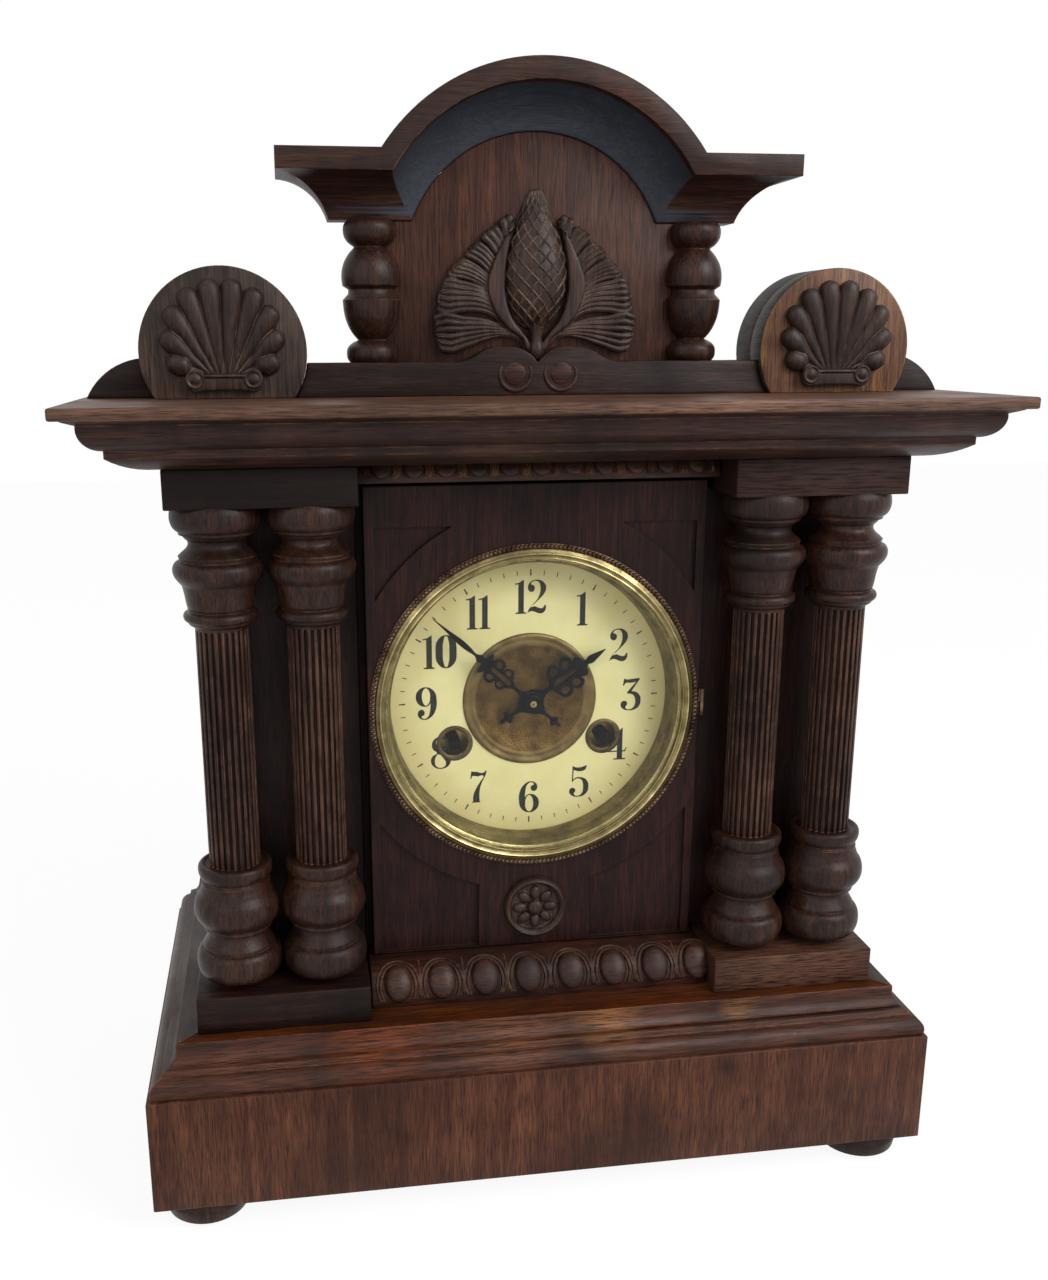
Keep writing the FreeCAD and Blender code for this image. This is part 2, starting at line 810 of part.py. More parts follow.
def cornice():
    height, inset = size.cornice_moulding_height, size.cornice_moulding_inset
    half_width = half_cornice
    side_strip = size.cornice_overhang
    front = front_line - size.plinth_setback
    front_strip = at_depth(size.frame_depth_at) - front
    keep("cornice_board", board("cornice_board", half_width * 2, size.cornice_depth,
                                size.cornice_board_thickness, -half_width, front,
                                cornice_board_bottom))
    run = mitred_front("cornice_moulding_front",
                       front_profile(cornice_moulding_shares, inset, height, front_strip),
                       half_width, front, side_strip, front_strip + size.cut_overrun,
                       cornice_bottom, height)
    side = mitred_side("cornice_moulding_side",
                       side_profile(cornice_moulding_shares, inset, height, side_strip),
                       half_width, front, side_strip, cornice_bottom, height)
    keep("cornice_mouldings", together("cornice_mouldings",
                                       [run, pair("cornice_moulding_sides", side)]))


cornice()


# Carcase: two sides, a top and a front frame whose window takes the dial panel.
def carcase():
    side_start = at_depth(size.frame_depth_at)
    side_depth = carcase_back - side_start
    frame_back = at_depth(size.frame_depth_at + size.frame_thickness)
    side = board("carcase_side", size.carcase_board, side_depth, cornice_board_bottom - deck,
                 inner_carcase, side_start, deck)
    keep("carcase_sides", pair("carcase_side_pair", side))
    top = board("carcase_top_board", inner_carcase * 2, carcase_back - frame_back,
                size.carcase_board, -inner_carcase, frame_back,
                cornice_board_bottom - size.carcase_board)
    hole = rod("turn_button_hole", size.turn_button_pin_radius + size.running_gap,
               size.turn_button_pin_length, zero, carcase_back,
               cornice_board_bottom - size.carcase_board / 2, to_front)
    keep("carcase_top", cut("carcase_top", top, hole))


carcase()

half_panel = size.panel_width / 2


def front_frame():
    """The frame behind the columns, with a stepped window that the panel drops into."""
    body = plate("front_frame", rectangle(-inner_carcase, zero, inner_carcase,
                                          cornice_board_bottom - deck), size.frame_thickness)
    rebate = panel_window(size.panel_gap)
    light = panel_window(-size.panel_ledge)
    through = outline(sketch_on(body, "XY_Plane"), light)
    pocket(body, through, size.frame_thickness * 2 + size.cut_overrun, both_ways=True)
    step = outline(sketch_on(body, "XY_Plane"), rebate)
    ledge = size.panel_thickness - (size.frame_depth_at - size.panel_depth_at)
    bind(step, "AttachmentOffset.Base.z", size.frame_thickness)
    pocket(body, step, ledge)
    put(body, zero, at_depth(size.frame_depth_at + size.frame_thickness), deck, to_front)
    keep("front_frame", body)


def panel_window(margin):
    """A window larger than the panel by a margin on every side, from the deck up."""
    return rectangle(-half_panel - margin, size.panel_bottom_margin - margin,
                     half_panel + margin, size.panel_bottom_margin + panel_height + margin)


front_frame()


def arc_height(across):
    """How far a point of the fields' arc lies above or below the dial's centre."""
    radius, reach = float(size.field_arc_radius), float(across)
    words = f"sqrt(({size.field_arc_radius.words})^2 - ({length(across).words})^2)"
    return Length(math.sqrt(radius * radius - reach * reach), words)


def arc_bulge(first, second, radius):
    """The bulge of an arc of a known radius between two points."""
    half_chord = math.hypot(float(second[0]) - float(first[0]),
                            float(second[1]) - float(first[1])) / 2
    rise = float(radius) - math.sqrt(float(radius) ** 2 - half_chord ** 2)
    return rise / (2 * half_chord)


def front_panel():
    """The panel round the dial, with four sunk corner fields that follow the bezel."""
    rise = panel_bottom - dial_centre
    body = plate("front_panel", rectangle(-half_panel, rise, half_panel,
                                          rise + panel_height), size.panel_thickness)
    pocket(body, circle_on(sketch_on(body, "XY_Plane"), size.dial_opening_radius),
           size.panel_thickness * 2 + size.cut_overrun, both_ways=True)
    outer = half_panel - size.field_side_margin
    low = rise + size.field_border
    inner = outer - size.lower_field_width
    high = rise + panel_height - size.upper_field_margin
    inner_top = outer - size.upper_field_width
    lower = [(inner, low), (outer, low), (outer, -arc_height(outer)),
             (inner, -arc_height(inner))]
    lower[2] = (*lower[2], -arc_bulge(lower[2], lower[3], size.field_arc_radius))
    start, finish = (inner_top, high), (outer, arc_height(outer))
    upper = [finish, (outer, high), (*start, -arc_bulge(start, finish, size.field_arc_radius))]
    for field in (lower, upper):
        for corners in (field, mirrored_corners(field)):
            sketch = outline(sketch_on(body, "XY_Plane"), corners)
            bind(sketch, "AttachmentOffset.Base.z", size.panel_thickness)
            pocket(body, sketch, size.field_depth)
    leaf_cut(body)
    put(body, zero, at_depth(size.panel_depth_at + size.panel_thickness), dial_centre, to_front)
    keep("front_panel", body)


def mirrored_corners(corners):
    """The same outline on the other side of the middle, run the same way round."""
    full = with_bulges(corners)
    result = []
    for index in range(len(full) - 1, -1, -1):
        result.append((-full[index][0], full[index][1], full[index - 1][2]))
    return result


def leaf_cut(body):
    """The sinking in the panel's edge that takes the fixed leaf of the bezel's hinge."""
    half = size.bezel_hinge_height / 2
    sketch = outline(sketch_on(body, "XY_Plane"),
                     rectangle(half_panel - size.bezel_leaf, -half,
                               half_panel + size.cut_overrun, half))
    bind(sketch, "AttachmentOffset.Base.z", size.panel_thickness)
    pocket(body, sketch, size.hinge_leaf_thickness)


front_panel()

# Carved strips under and over the panel, kept to their rounded section.
egg_section_shares = [(0.0, 0.0), (1.0, 0.0), (1.0, 1.0), (0.42, 1.0, 0.2), (0.0, 0.2)]


def egg_strip(label, front_at, bottom, height):
    depth = size.frame_depth_at - front_at
    corners = [(depth * share[0], height * share[1], *share[2:]) for share in egg_section_shares]
    body = moulding_run(label, corners, size.egg_strip_width)
    keep(label, put(body, zero, at_depth(front_at), bottom))


egg_strip("egg_moulding_lower", size.lower_egg_depth_at, deck, size.lower_egg_height)
egg_strip("egg_moulding_upper", size.upper_egg_depth_at, cornice_bottom - size.upper_egg_height,
          size.upper_egg_height)

# Rosette under the dial: a turned button with a sunk ring between its rim and its boss.
rosette_profile_shares = [(1.0, 0.0), (1.0, 0.7), (0.86, 0.7), (0.8, 0.45), (0.4, 0.45),
                          (0.3, 1.0)]


def rosette():
    low = panel_bottom + size.rosette_above_edge
    high = dial_centre - size.bezel_radius - size.rosette_below_bezel
    corners = turned_corners(rosette_profile_shares, (high - low) / 2, size.rosette_thickness)
    button = turned("panel_rosette", corners)
    put(button, zero, at_depth(size.panel_depth_at), (low + high) / 2, to_front)
    keep("panel_rosette", button)


rosette()

# Back door: a plain board that hangs on two lift-off butt hinges on the right and is held
# by a wooden turn button under the cornice.
half_door = inner_carcase - size.door_gap
door_bottom = deck + size.door_gap
door_height = cornice_board_bottom - size.carcase_board - size.door_gap - door_bottom
hinge_line = inner_carcase - size.door_gap / 2
hinge_depth = carcase_back + size.hinge_knuckle_radius
hinge_levels = (door_bottom + size.hinge_end_margin,
                door_bottom + door_height - size.hinge_end_margin - size.hinge_height)


def hinge_leaf(name, start, bottom):
    """A leaf on the back faces, from the knuckle's line out over the wood."""
    return board(name, size.hinge_leaf, size.hinge_leaf_thickness, size.hinge_height,
                 start, carcase_back, bottom)


def back_door():
    keep("back_door", board("back_door", half_door * 2, size.door_thickness, door_height,
                            -half_door, carcase_back - size.door_thickness, door_bottom))
    half_height = size.hinge_height / 2
    fixed, moving = [], []
    for number, bottom in enumerate(hinge_levels, start=1):
        pin = rod(f"door_pin_{number}", size.hinge_pin_radius,
                  size.hinge_height - size.hinge_knuckle_radius, hinge_line, hinge_depth, bottom)
        low = rod(f"low_knuckle_{number}", size.hinge_knuckle_radius, half_height,
                  hinge_line, hinge_depth, bottom)
        leaf = board(f"carcase_leaf_{number}", size.hinge_leaf + size.door_gap / 2,
                     size.hinge_leaf_thickness, half_height, hinge_line, carcase_back, bottom)
        fixed.append(fuse(f"carcase_hinge_{number}", [pin, low, leaf]))
        high_bottom = bottom + half_height + size.running_gap
        high_height = half_height - size.running_gap
        high = rod(f"high_knuckle_{number}", size.hinge_knuckle_radius, high_height,
                   hinge_line, hinge_depth, high_bottom)
        leaf = board(f"door_leaf_{number}", size.hinge_leaf + size.door_gap / 2,
                     size.hinge_leaf_thickness, high_height,
                     hinge_line - size.hinge_leaf - size.door_gap / 2, carcase_back,
                     high_bottom)
        wing = fuse(f"door_wing_{number}", [high, leaf])
        bore = rod(f"door_bore_{number}", size.hinge_pin_radius + size.running_gap,
                   size.hinge_height, hinge_line, hinge_depth, bottom)
        moving.append(cut(f"door_hinge_{number}", wing, bore))
    keep("door_hinges_fixed", together("door_hinges_fixed", fixed))
    keep("door_hinges_moving", together("door_hinges_moving", moving))


round_end_share = 0.45


def turn_button():
    """A bar on a pin in the carcase top. At rest it lies level, clear of the door."""
    pin_level = cornice_board_bottom - size.carcase_board / 2
    half = size.turn_button_width / 2
    drop = size.turn_button_length - half
    body = plate("turn_button_bar", [(zero, -half), (drop, -half), (drop, half),
                                     (zero, half, round_end_share)],
                 size.turn_button_thickness)
    outside = carcase_back + size.fit_gap + size.turn_button_thickness
    put(body, zero, outside, pin_level, to_front)
    pin = rod("turn_button_pin", size.turn_button_pin_radius,
              size.turn_button_thickness + size.turn_button_pin_length,
              zero, outside, pin_level, to_front)
    keep("turn_button", fuse("turn_button", [body, pin]))


back_door()
turn_button()

# Crest: a board with an arched top under a coved hood, between two three-quarter balusters.
arch_centre = crest_floor + size.arch_centre_height
wing_top = crest_floor + size.hood_wing_height
wing_bottom = wing_top - size.hood_slab
hood_bottom = wing_bottom - size.hood_cove_height
half_crest = size.crest_board_width / 2


def crest_board():
    low = crest_floor - arch_centre
    shoulder = hood_bottom - arch_centre
    radius = size.arch_opening_radius - size.running_gap
    inner = Length(math.sqrt(float(radius) ** 2 - float(shoulder) ** 2),
                   f"sqrt(({radius.words})^2 - ({shoulder.words})^2)")
    rise = float(radius) - float(shoulder)
    bulge = rise / (2 * float(inner))
    body = plate("crest_board", [(-half_crest, low), (half_crest, low), (half_crest, shoulder),
                                 (inner, shoulder, bulge), (-inner, shoulder),
                                 (-half_crest, shoulder)], size.crest_board_thickness)
    put(body, zero, at_depth(size.crest_board_depth_at + size.crest_board_thickness),
        arch_centre, to_front)
    keep("crest_board", body)


# The hood's end coves, front cove and arch cove are one hollow carried round the whole
# front, so the same rise of its curve serves all three.
cove_bulge_share = -0.16


def crest_hood():
    """A slab with two wings and an arch, over one cove that is mitred where they meet."""
    body = body_named("crest_hood")
    half = size.hood_width / 2
    top, under = wing_top - arch_centre, wing_bottom - arch_centre
    bottom = hood_bottom - arch_centre
    outer = size.arch_outer_radius
    meet = Length(math.sqrt(float(outer) ** 2 - float(top) ** 2),
                  f"sqrt(({outer.words})^2 - ({top.words})^2)")
    arch_bulge = (float(outer) - float(top)) / (2 * float(meet))
    thickness = size.crest_board_depth_at + size.crest_board_thickness - size.hood_depth_at
    right = [(half - size.hood_cove_width, bottom, cove_bulge_share), (half, under),
             (half, top), (meet, top, arch_bulge)]
    pad(body, outline(sketch_on(body, "XY_Plane"), both_sides(right)), thickness)
    front_cut = thickness + size.cut_overrun
    cove_back = thickness - size.hood_cove_depth
    cove = [(bottom - size.cut_overrun, cove_back), (bottom, cove_back, -cove_bulge_share),
            (under, thickness), (under, front_cut), (bottom - size.cut_overrun, front_cut)]
    front_cove = outline(sketch_on(body, "YZ_Plane"), cove)
    pocket(body, front_cove, size.hood_width + size.cut_overrun, both_ways=True)
    inner = outer - size.hood_slab
    arch = [(zero, -size.cut_overrun), (size.arch_opening_radius, -size.cut_overrun),
            (size.arch_opening_radius, cove_back, -cove_bulge_share), (inner, thickness),
            (inner, front_cut), (zero, front_cut)]
    revolve(body, outline(sketch_on(body, "XZ_Plane"), arch), "Groove")
    put(body, zero, at_depth(size.crest_board_depth_at + size.crest_board_thickness),
        arch_centre, to_front)
    keep("crest_hood", body)


crest_board()
crest_hood()

# Balusters: turned whole, with one quarter cut away to sit round the crest board's edge.
baluster_profile_shares = [(0.76, 0.0), (0.87, 0.07), (0.82, 0.15), (0.55, 0.2), (0.68, 0.25),
                           (1.0, 0.43), (1.0, 0.52), (0.76, 0.555), (0.98, 0.66),
                           (0.88, 0.755), (0.56, 0.84), (0.79, 0.92), (0.66, 1.0)]


def balusters():
    bottom = crest_floor + size.baluster_foot_height
    height = hood_bottom - bottom
    whole = turned("baluster_whole",
                   turned_corners(baluster_profile_shares, size.baluster_radius, height))
    put(whole, half_crest, at_depth(size.crest_board_depth_at), bottom)
    corner = board("baluster_corner", size.baluster_corner, size.baluster_corner, height,
                   half_crest - size.baluster_corner, at_depth(size.crest_board_depth_at),
                   bottom)
    keep("balusters", pair("baluster_pair", cut("baluster", whole, corner)))


balusters()


def circle_edge(radius, up):
    """How far out a circle reaches at a height above its centre."""
    words = f"sqrt(({radius.words})^2 - ({up.words})^2)"
    return Length(math.sqrt(float(radius) ** 2 - float(up) ** 2), words)


cope_radius = size.roundel_radius + size.fit_gap
rail_sweep_share = 0.09
rail_notch_share = 0.14


def crest_rail():
    """The rail before the crest board, coped to the roundels and swept up to a notch."""
    low = circle_edge(cope_radius, size.roundel_centre_height)
    high = circle_edge(cope_radius, size.roundel_centre_height - size.crest_rail_height)
    start = (size.roundel_centre - low, zero)
    finish = (size.roundel_centre - high, size.crest_rail_height)
    peak = size.crest_rail_peak_half_width
    rise = size.crest_rail_peak - size.crest_rail_height
    right = [(*start, -arc_bulge(start, finish, cope_radius)), finish,
             (peak + size.crest_rail_sweep, size.crest_rail_height, -rail_sweep_share),
             (peak + size.crest_rail_sweep / 2, size.crest_rail_height + rise / 2,
              rail_sweep_share),
             (peak, size.crest_rail_peak, rail_notch_share),
             (zero, size.crest_rail_peak - size.crest_rail_notch)]
    body = plate("crest_rail", both_sides(right), size.crest_rail_thickness)
    put(body, zero, at_depth(size.crest_board_depth_at), crest_floor, to_front)
    keep("crest_rail", body)


crest_rail()


# Roundels: a drum in two layers with a fine groove at the joint, cut flat to stand on the
# cornice. Each carries a carved shell, and a low fin closes it off at its outer side.
def roundels():
    flat = circle_edge(size.roundel_radius, size.roundel_centre_height)
    bulge = (mm.roundel_radius + mm.roundel_centre_height) / (2 * float(flat))
    thickness = size.roundel_front_thickness + size.roundel_back_thickness
    body = plate("roundel", [(flat, -size.roundel_centre_height, bulge),
                             (-flat, -size.roundel_centre_height)], thickness)
    inner = size.roundel_radius - size.roundel_joint_groove
    outer = size.roundel_radius + size.cut_overrun
    joint = size.roundel_back_thickness
    groove = rectangle(inner, joint - size.roundel_joint_groove, outer, joint)
    revolve(body, outline(sketch_on(body, "XZ_Plane"), groove), "Groove")
    put(body, size.roundel_centre, at_depth(size.roundel_depth_at) + thickness,
        crest_floor + size.roundel_centre_height, to_front)
    keep("roundels", pair("roundel_pair", body))


shell_lobes = 10
shell_first_angle = -16
shell_lobe_bulge_share = 0.34
shell_valley_share = 0.9


def shells():
    """A scallop shell in outline: ten lobes round a low hub."""
    hub = size.shell_hub_height
    reach = size.shell_width / 2
    climb = size.shell_height - hub
    sweep = 180 - 2 * shell_first_angle
    corners = []
    for lobe in range(shell_lobes + 1):
        angle = math.radians(shell_first_angle + sweep * lobe / shell_lobes)
        bulge = shell_lobe_bulge_share if lobe < shell_lobes else 0
        corners.append((reach * (shell_valley_share * math.cos(angle)),
                        hub + climb * (shell_valley_share * math.sin(angle)), bulge))
    body = plate("shell", corners, size.shell_relief)
    put(body, size.roundel_centre, at_depth(size.roundel_depth_at), crest_floor, to_front)
    keep("shells", pair("shell_pair", body))


def circles_meet(first, first_radius, second, second_radius):
    """The upper point where two circles cross."""
    across, up = second[0] - first[0], second[1] - first[1]
    gap = math.hypot(across, up)
    along = (first_radius ** 2 - second_radius ** 2 + gap ** 2) / (2 * gap)
    aside = math.sqrt(first_radius ** 2 - along ** 2)
    return (first[0] + (along * across - aside * up) / gap,
            first[1] + (along * up + aside * across) / gap)


def fins():
    roundel = (mm.roundel_centre, mm.roundel_centre_height)
    centre = (mm.fin_centre, -mm.fin_drop)
    top = circles_meet(roundel, float(cope_radius), centre, mm.fin_radius)
    inner = size.roundel_centre + circle_edge(cope_radius, size.roundel_centre_height)
    outer = size.fin_centre + circle_edge(size.fin_radius, size.fin_drop)
    crown = (length(top[0]), length(top[1]))
    corners = [(inner, zero),
               (outer, zero, arc_bulge((outer, zero), crown, size.fin_radius)),
               (*crown, -arc_bulge(crown, (inner, zero), cope_radius))]
    body = plate("fin", corners, size.fin_thickness)
    put(body, zero, at_depth(size.fin_depth_at + size.fin_thickness), crest_floor, to_front)
    keep("crest_fins", pair("fin_pair", body))


roundels()
shells()
fins()

# Pine cone between two fanned leaves, planted on the crest board.
cone_widest_share = 0.42
cone_lower_swell_share = 0.12
cone_upper_swell_share = 0.1
leaf_outline_shares = [(0.05, 0.0), (0.45, 0.1), (0.8, 0.02), (0.98, 0.08), (1.0, 0.2, 0.2),
                       (0.93, 0.42, 0.2), (0.77, 0.63, 0.2), (0.52, 0.83, 0.2), (0.24, 1.0),
                       (0.33, 0.6), (0.22, 0.25)]


def pine_cone():
    setback = size.cone_axis_setback
    widest = setback + size.cone_relief
    level = size.cone_height * cone_widest_share
    corners = [(setback, zero, cone_lower_swell_share), (widest, level, cone_upper_swell_share),
               (setback, size.cone_height)]
    whole = turned("cone_whole", corners)
    face = at_depth(size.crest_board_depth_at)
    put(whole, zero, face + setback, crest_floor + size.cone_foot_height)
    behind = board("behind_cone", widest * 4, widest * 4, size.cone_height, widest * -2,
                   face, crest_floor + size.cone_foot_height)
    cone = cut("cone", whole, behind)
    spread = size.leaf_top_height - size.leaf_foot_height
    leaf = plate("leaf", [(size.leaf_reach * share[0], spread * share[1], *share[2:])
                          for share in leaf_outline_shares], size.leaf_relief)
    put(leaf, zero, face, crest_floor + size.leaf_foot_height, to_front)
    stem_half = size.crest_rail_notch / 2
    stem_foot = size.crest_rail_peak + size.fit_gap
    stem = board("stem", stem_half * 2, size.leaf_relief,
                 size.cone_foot_height + size.cone_height / 2 - stem_foot,
                 -stem_half, face - size.leaf_relief, crest_floor + stem_foot)
    keep("pine_cone_ornament", fuse("pine_cone_ornament",
                                    [cone, leaf, mirrored(leaf, Vector(1, 0, 0)), stem]))


pine_cone()


# Dial: a cream plate with a pressed brass centre and a brass grommet round each winding hole.
def ring(label, corners):
    """A turned ring from the corners of its section."""
    body = body_named(label)
    revolve(body, outline(sketch_on(body, "XZ_Plane"), corners))
    return body


def dial():
    body = body_named("dial_disc")
    pad(body, circle_on(sketch_on(body, "XY_Plane"), size.dial_radius), size.dial_thickness)
    through = size.dial_thickness * 2 + size.cut_overrun
    holes = [(size.hour_pipe_radius + size.fit_gap, zero, zero),
             (size.grommet_bore, -size.winding_across, size.winding_rise),
             (size.grommet_bore, size.winding_across, size.winding_rise)]
    for radius, across, up in holes:
        pocket(body, circle_on(sketch_on(body, "XY_Plane"), radius, across, up), through,
               both_ways=True)
    put(body, zero, at_depth(dial_at + size.dial_thickness), dial_centre, to_front)
    feet = []
    for number, (side, level) in enumerate(((-1, -1), (1, -1), (-1, 1), (1, 1)), start=1):
        feet.append(arbor(f"dial_foot_{number}", size.dial_foot_radius, dial_at,
                          front_plate_at, size.dial_foot_across * side,
                          size.dial_foot_rise * level))
    keep("dial_plate", fuse("dial_with_feet", [body, *feet]))


centre_rim_shares = (0.9, 0.95)


def centre_disc():
    bore = size.hour_pipe_radius + size.fit_gap
    radius, thick = size.centre_disc_radius, size.centre_disc_thickness
    body = ring("centre_disc", [(bore, zero), (radius, zero), (radius, thick),
                                (radius * centre_rim_shares[1], thick * 2),
                                (radius * centre_rim_shares[0], thick), (bore, thick)])
    put(body, zero, at_depth(dial_at), dial_centre, to_front)
    keep("centre_disc", body)


def grommets():
    body = ring("grommet", rectangle(size.grommet_bore, zero, size.grommet_radius,
                                     size.grommet_flange))
    put(body, size.winding_across, at_depth(dial_at),
        at_rise(size.winding_rise), to_front)
    keep("winding_grommets", pair("grommet_pair", body))


dial()
centre_disc()
grommets()

# Bezel: a brass rim with a sloping sight ring that reaches back to the dial, hinged on the
# right. The glass lies inside the rim.
bezel_crown_share = 0.83


def bezel():
    rim, thick = size.bezel_radius, size.bezel_thickness
    inner = size.bezel_inner_radius
    crown = inner + (rim - inner) * bezel_crown_share
    corners = [(inner + size.sight_wall, zero), (rim, zero), (crown, thick), (inner, thick),
               (size.sight_radius, -size.sight_depth),
               (size.sight_radius + size.sight_wall, -size.sight_depth)]
    body = ring("bezel_body", corners)
    put(body, zero, at_depth(size.panel_depth_at), dial_centre, to_front)
    half = size.bezel_hinge_height / 2
    knuckle_depth = at_depth(size.panel_depth_at) - size.bezel_knuckle_radius
    axis = size.bezel_hinge_across
    high_bottom = dial_centre + size.running_gap
    knuckle = rod("bezel_knuckle", size.bezel_knuckle_radius, half - size.running_gap,
                  axis, knuckle_depth, high_bottom)
    tab_start = rim - size.bezel_thickness
    tab = board("bezel_tab", axis - tab_start, size.hinge_leaf_thickness,
                half - size.running_gap, tab_start,
                at_depth(size.panel_depth_at) - size.hinge_leaf_thickness - size.fit_gap,
                high_bottom)
    bore = rod("bezel_bore", size.bezel_pin_radius + size.running_gap,
               size.bezel_hinge_height, axis, knuckle_depth, dial_centre - half)
    keep("bezel_ring", cut("bezel_ring", fuse("bezel_solid", [body, knuckle, tab]), bore))
    fixed_leaf = board("bezel_fixed_leaf", axis - half_panel + size.bezel_leaf,
                       size.hinge_leaf_thickness, half, half_panel - size.bezel_leaf,
                       at_depth(size.panel_depth_at), dial_centre - half)
    web = board("bezel_hinge_web", size.bezel_knuckle_radius,
                size.bezel_knuckle_radius + size.hinge_leaf_thickness, half,
                axis - size.bezel_knuckle_radius, knuckle_depth, dial_centre - half)
    low = rod("bezel_low_knuckle", size.bezel_knuckle_radius, half, axis, knuckle_depth,
              dial_centre - half)
    pin = rod("bezel_pin", size.bezel_pin_radius, size.bezel_hinge_height - size.fit_gap,
              axis, knuckle_depth, dial_centre - half)
    keep("bezel_hinge_leaf", fuse("bezel_hinge_leaf", [fixed_leaf, web, low, pin]))


glass_dome_shares = [(0.0, 1.0), (0.45, 0.8), (0.8, 0.36), (1.0, 0.0)]


def glass():
    slope = (mm.bezel_inner_radius - mm.sight_radius) / (mm.sight_depth + mm.bezel_thickness)
    back = size.glass_seat + size.glass_thickness
    radius = size.bezel_inner_radius - back * slope
    thick = size.glass_thickness
    under = [(radius * share[0], size.glass_rise * share[1]) for share in glass_dome_shares]
    over = [(across, up + thick) for across, up in reversed(under)]
    body = ring("bezel_glass", under + over)
    put(body, zero, at_depth(size.panel_depth_at) - size.bezel_thickness + back,
        dial_centre, to_front)
    keep("bezel_glass", body)


bezel()
glass()

# Hands: blued steel, each with a pierced scroll, a spear point and a leaf tail.
minute_outline_shares = [(0.0, -0.29), (0.055, -0.24), (0.02, -0.19), (0.02, -0.09)]
minute_blade_shares = [(0.022, 0.1), (0.022, 0.22), (0.1, 0.29), (0.1, 0.36), (0.02, 0.43),
                       (0.045, 0.54), (0.015, 0.76), (0.0, 1.0)]
hour_outline_shares = [(0.0, -0.43), (0.08, -0.36), (0.03, -0.28), (0.03, -0.15)]
hour_blade_shares = [(0.04, 0.15), (0.04, 0.3), (0.19, 0.4), (0.19, 0.58), (0.05, 0.68),
                     (0.06, 0.74), (0.0, 1.0)]
hub_side_share = 0.8


def hand(label, reach, tail_shares, blade_shares, hub, bore, depth_at, angle):
    """A hand drawn at twelve o'clock and then turned to its place."""
    tail = [(reach * share[0], reach * share[1]) for share in tail_shares]
    blade = [(reach * share[0], reach * share[1]) for share in blade_shares]
    side = hub * hub_side_share
    hub_corners = [(side, -hub / 2), (hub, zero), (side, hub / 2)]
    body = plate(label, both_sides(tail + hub_corners + blade), size.hand_thickness)
    pocket(body, circle_on(sketch_on(body, "XY_Plane"), bore), size.cut_overrun,
           both_ways=True)
    turn = Rotation(Vector(0, 1, 0), angle) * to_front
    put(body, zero, at_depth(depth_at + size.hand_thickness), dial_centre, turn)
    keep(label, body)


hand("minute_hand", size.minute_hand_length, minute_outline_shares, minute_blade_shares,
     size.minute_hub_radius, size.cannon_radius, minute_hand_at,
     mm.minute_hand_angle)
hand("hour_hand", size.hour_hand_length, hour_outline_shares, hour_blade_shares,
     size.hour_hub_radius, size.hour_pipe_radius, hour_hand_at,
     mm.hour_hand_angle)
keep("hand_nut", cut("hand_nut",
                     arbor("nut_disc", size.hand_nut_radius,
                           minute_hand_at - size.hand_nut_length,
                           minute_hand_at),
                     arbor("nut_bore", size.arbor_radius,
                           minute_hand_at - size.hand_nut_length * 2,
                           minute_hand_at + size.hand_nut_length)))

# Movement frame: two brass plates held apart by pillars, strapped to battens in the case.
anchor_drop = size.escape_radius * math.sqrt(2)
anchor_rise = size.escape_rise + anchor_drop
plate_height = size.plate_top_rise - size.plate_bottom_rise


def movement_plate(label, depth_at, centre_hole):
    half = size.plate_width / 2
    body = plate(label, rectangle(-half, size.plate_bottom_rise, half, size.plate_top_rise),
                 size.plate_thickness)
    play = size.running_gap
    holes = [(centre_hole + play, zero, zero),
             (size.winding_arbor_radius + play, -size.winding_across, size.winding_rise),
             (size.winding_arbor_radius + play, size.winding_across, size.winding_rise),
             (size.arbor_radius + play, size.third_across, size.third_rise),
             (size.arbor_radius + play, zero, size.escape_rise),
             (size.arbor_radius + play, zero, anchor_rise),
             (size.hammer_arbor_radius + play, size.hammer_across, size.hammer_rise)]
    for radius, across, rise in holes:
        pocket(body, circle_on(sketch_on(body, "XY_Plane"), radius, across, rise),
               size.plate_thickness * 2 + size.cut_overrun, both_ways=True)
    return put(body, zero, at_depth(depth_at + size.plate_thickness), dial_centre, to_front)


def movement_frame():
    front = movement_plate("front_plate", front_plate_at, size.arbor_radius)
    post = arbor("motion_post", size.motion_post_radius,
                 hour_wheel_at - size.wheel_thickness, front_plate_back, zero,
                 -size.motion_post_drop)
    keep("movement_front_plate", fuse("front_plate_with_post", [front, post]))
    back = movement_plate("back_plate", back_plate_at, size.centre_pivot_radius)
    cock = board("suspension_cock", size.cock_width, size.cock_length, size.cock_height,
                 -size.cock_width / 2, at_depth(back_plate_back),
                 at_rise(anchor_rise + size.suspension_rise + size.fit_gap))
    keep("movement_back_plate", fuse("back_plate_with_cock", [back, cock]))
    pillars = []
    for name, rise in (("upper", size.upper_pillar_rise), ("lower", size.lower_pillar_rise)):
        pillar = arbor(f"{name}_pillar", size.pillar_radius, front_plate_back, back_plate_at,
                       size.pillar_across, rise)
        pillars.append(pair(f"{name}_pillars", pillar))
    keep("movement_pillars", together("movement_pillars", pillars))
    straps = []
    for name, rise in (("upper", size.strap_rise), ("lower", -size.strap_rise)):
        strap = board(f"{name}_strap", size.strap_outer - size.strap_inner,
                      size.strap_thickness, size.strap_height, size.strap_inner,
                      at_depth(front_plate_at - size.strap_thickness),
                      at_rise(rise - size.strap_height / 2))
        straps.append(pair(f"{name}_straps", strap))
    keep("movement_straps", together("movement_straps", straps))
    batten_at = size.frame_depth_at + size.frame_thickness
    batten = board("batten", size.batten_width,
                   front_plate_at - size.strap_thickness - batten_at,
                   size.batten_height, size.strap_outer - size.batten_width,
                   at_depth(batten_at), at_rise(-size.batten_height / 2))
    keep("movement_battens", pair("batten_pair", batten))


movement_frame()

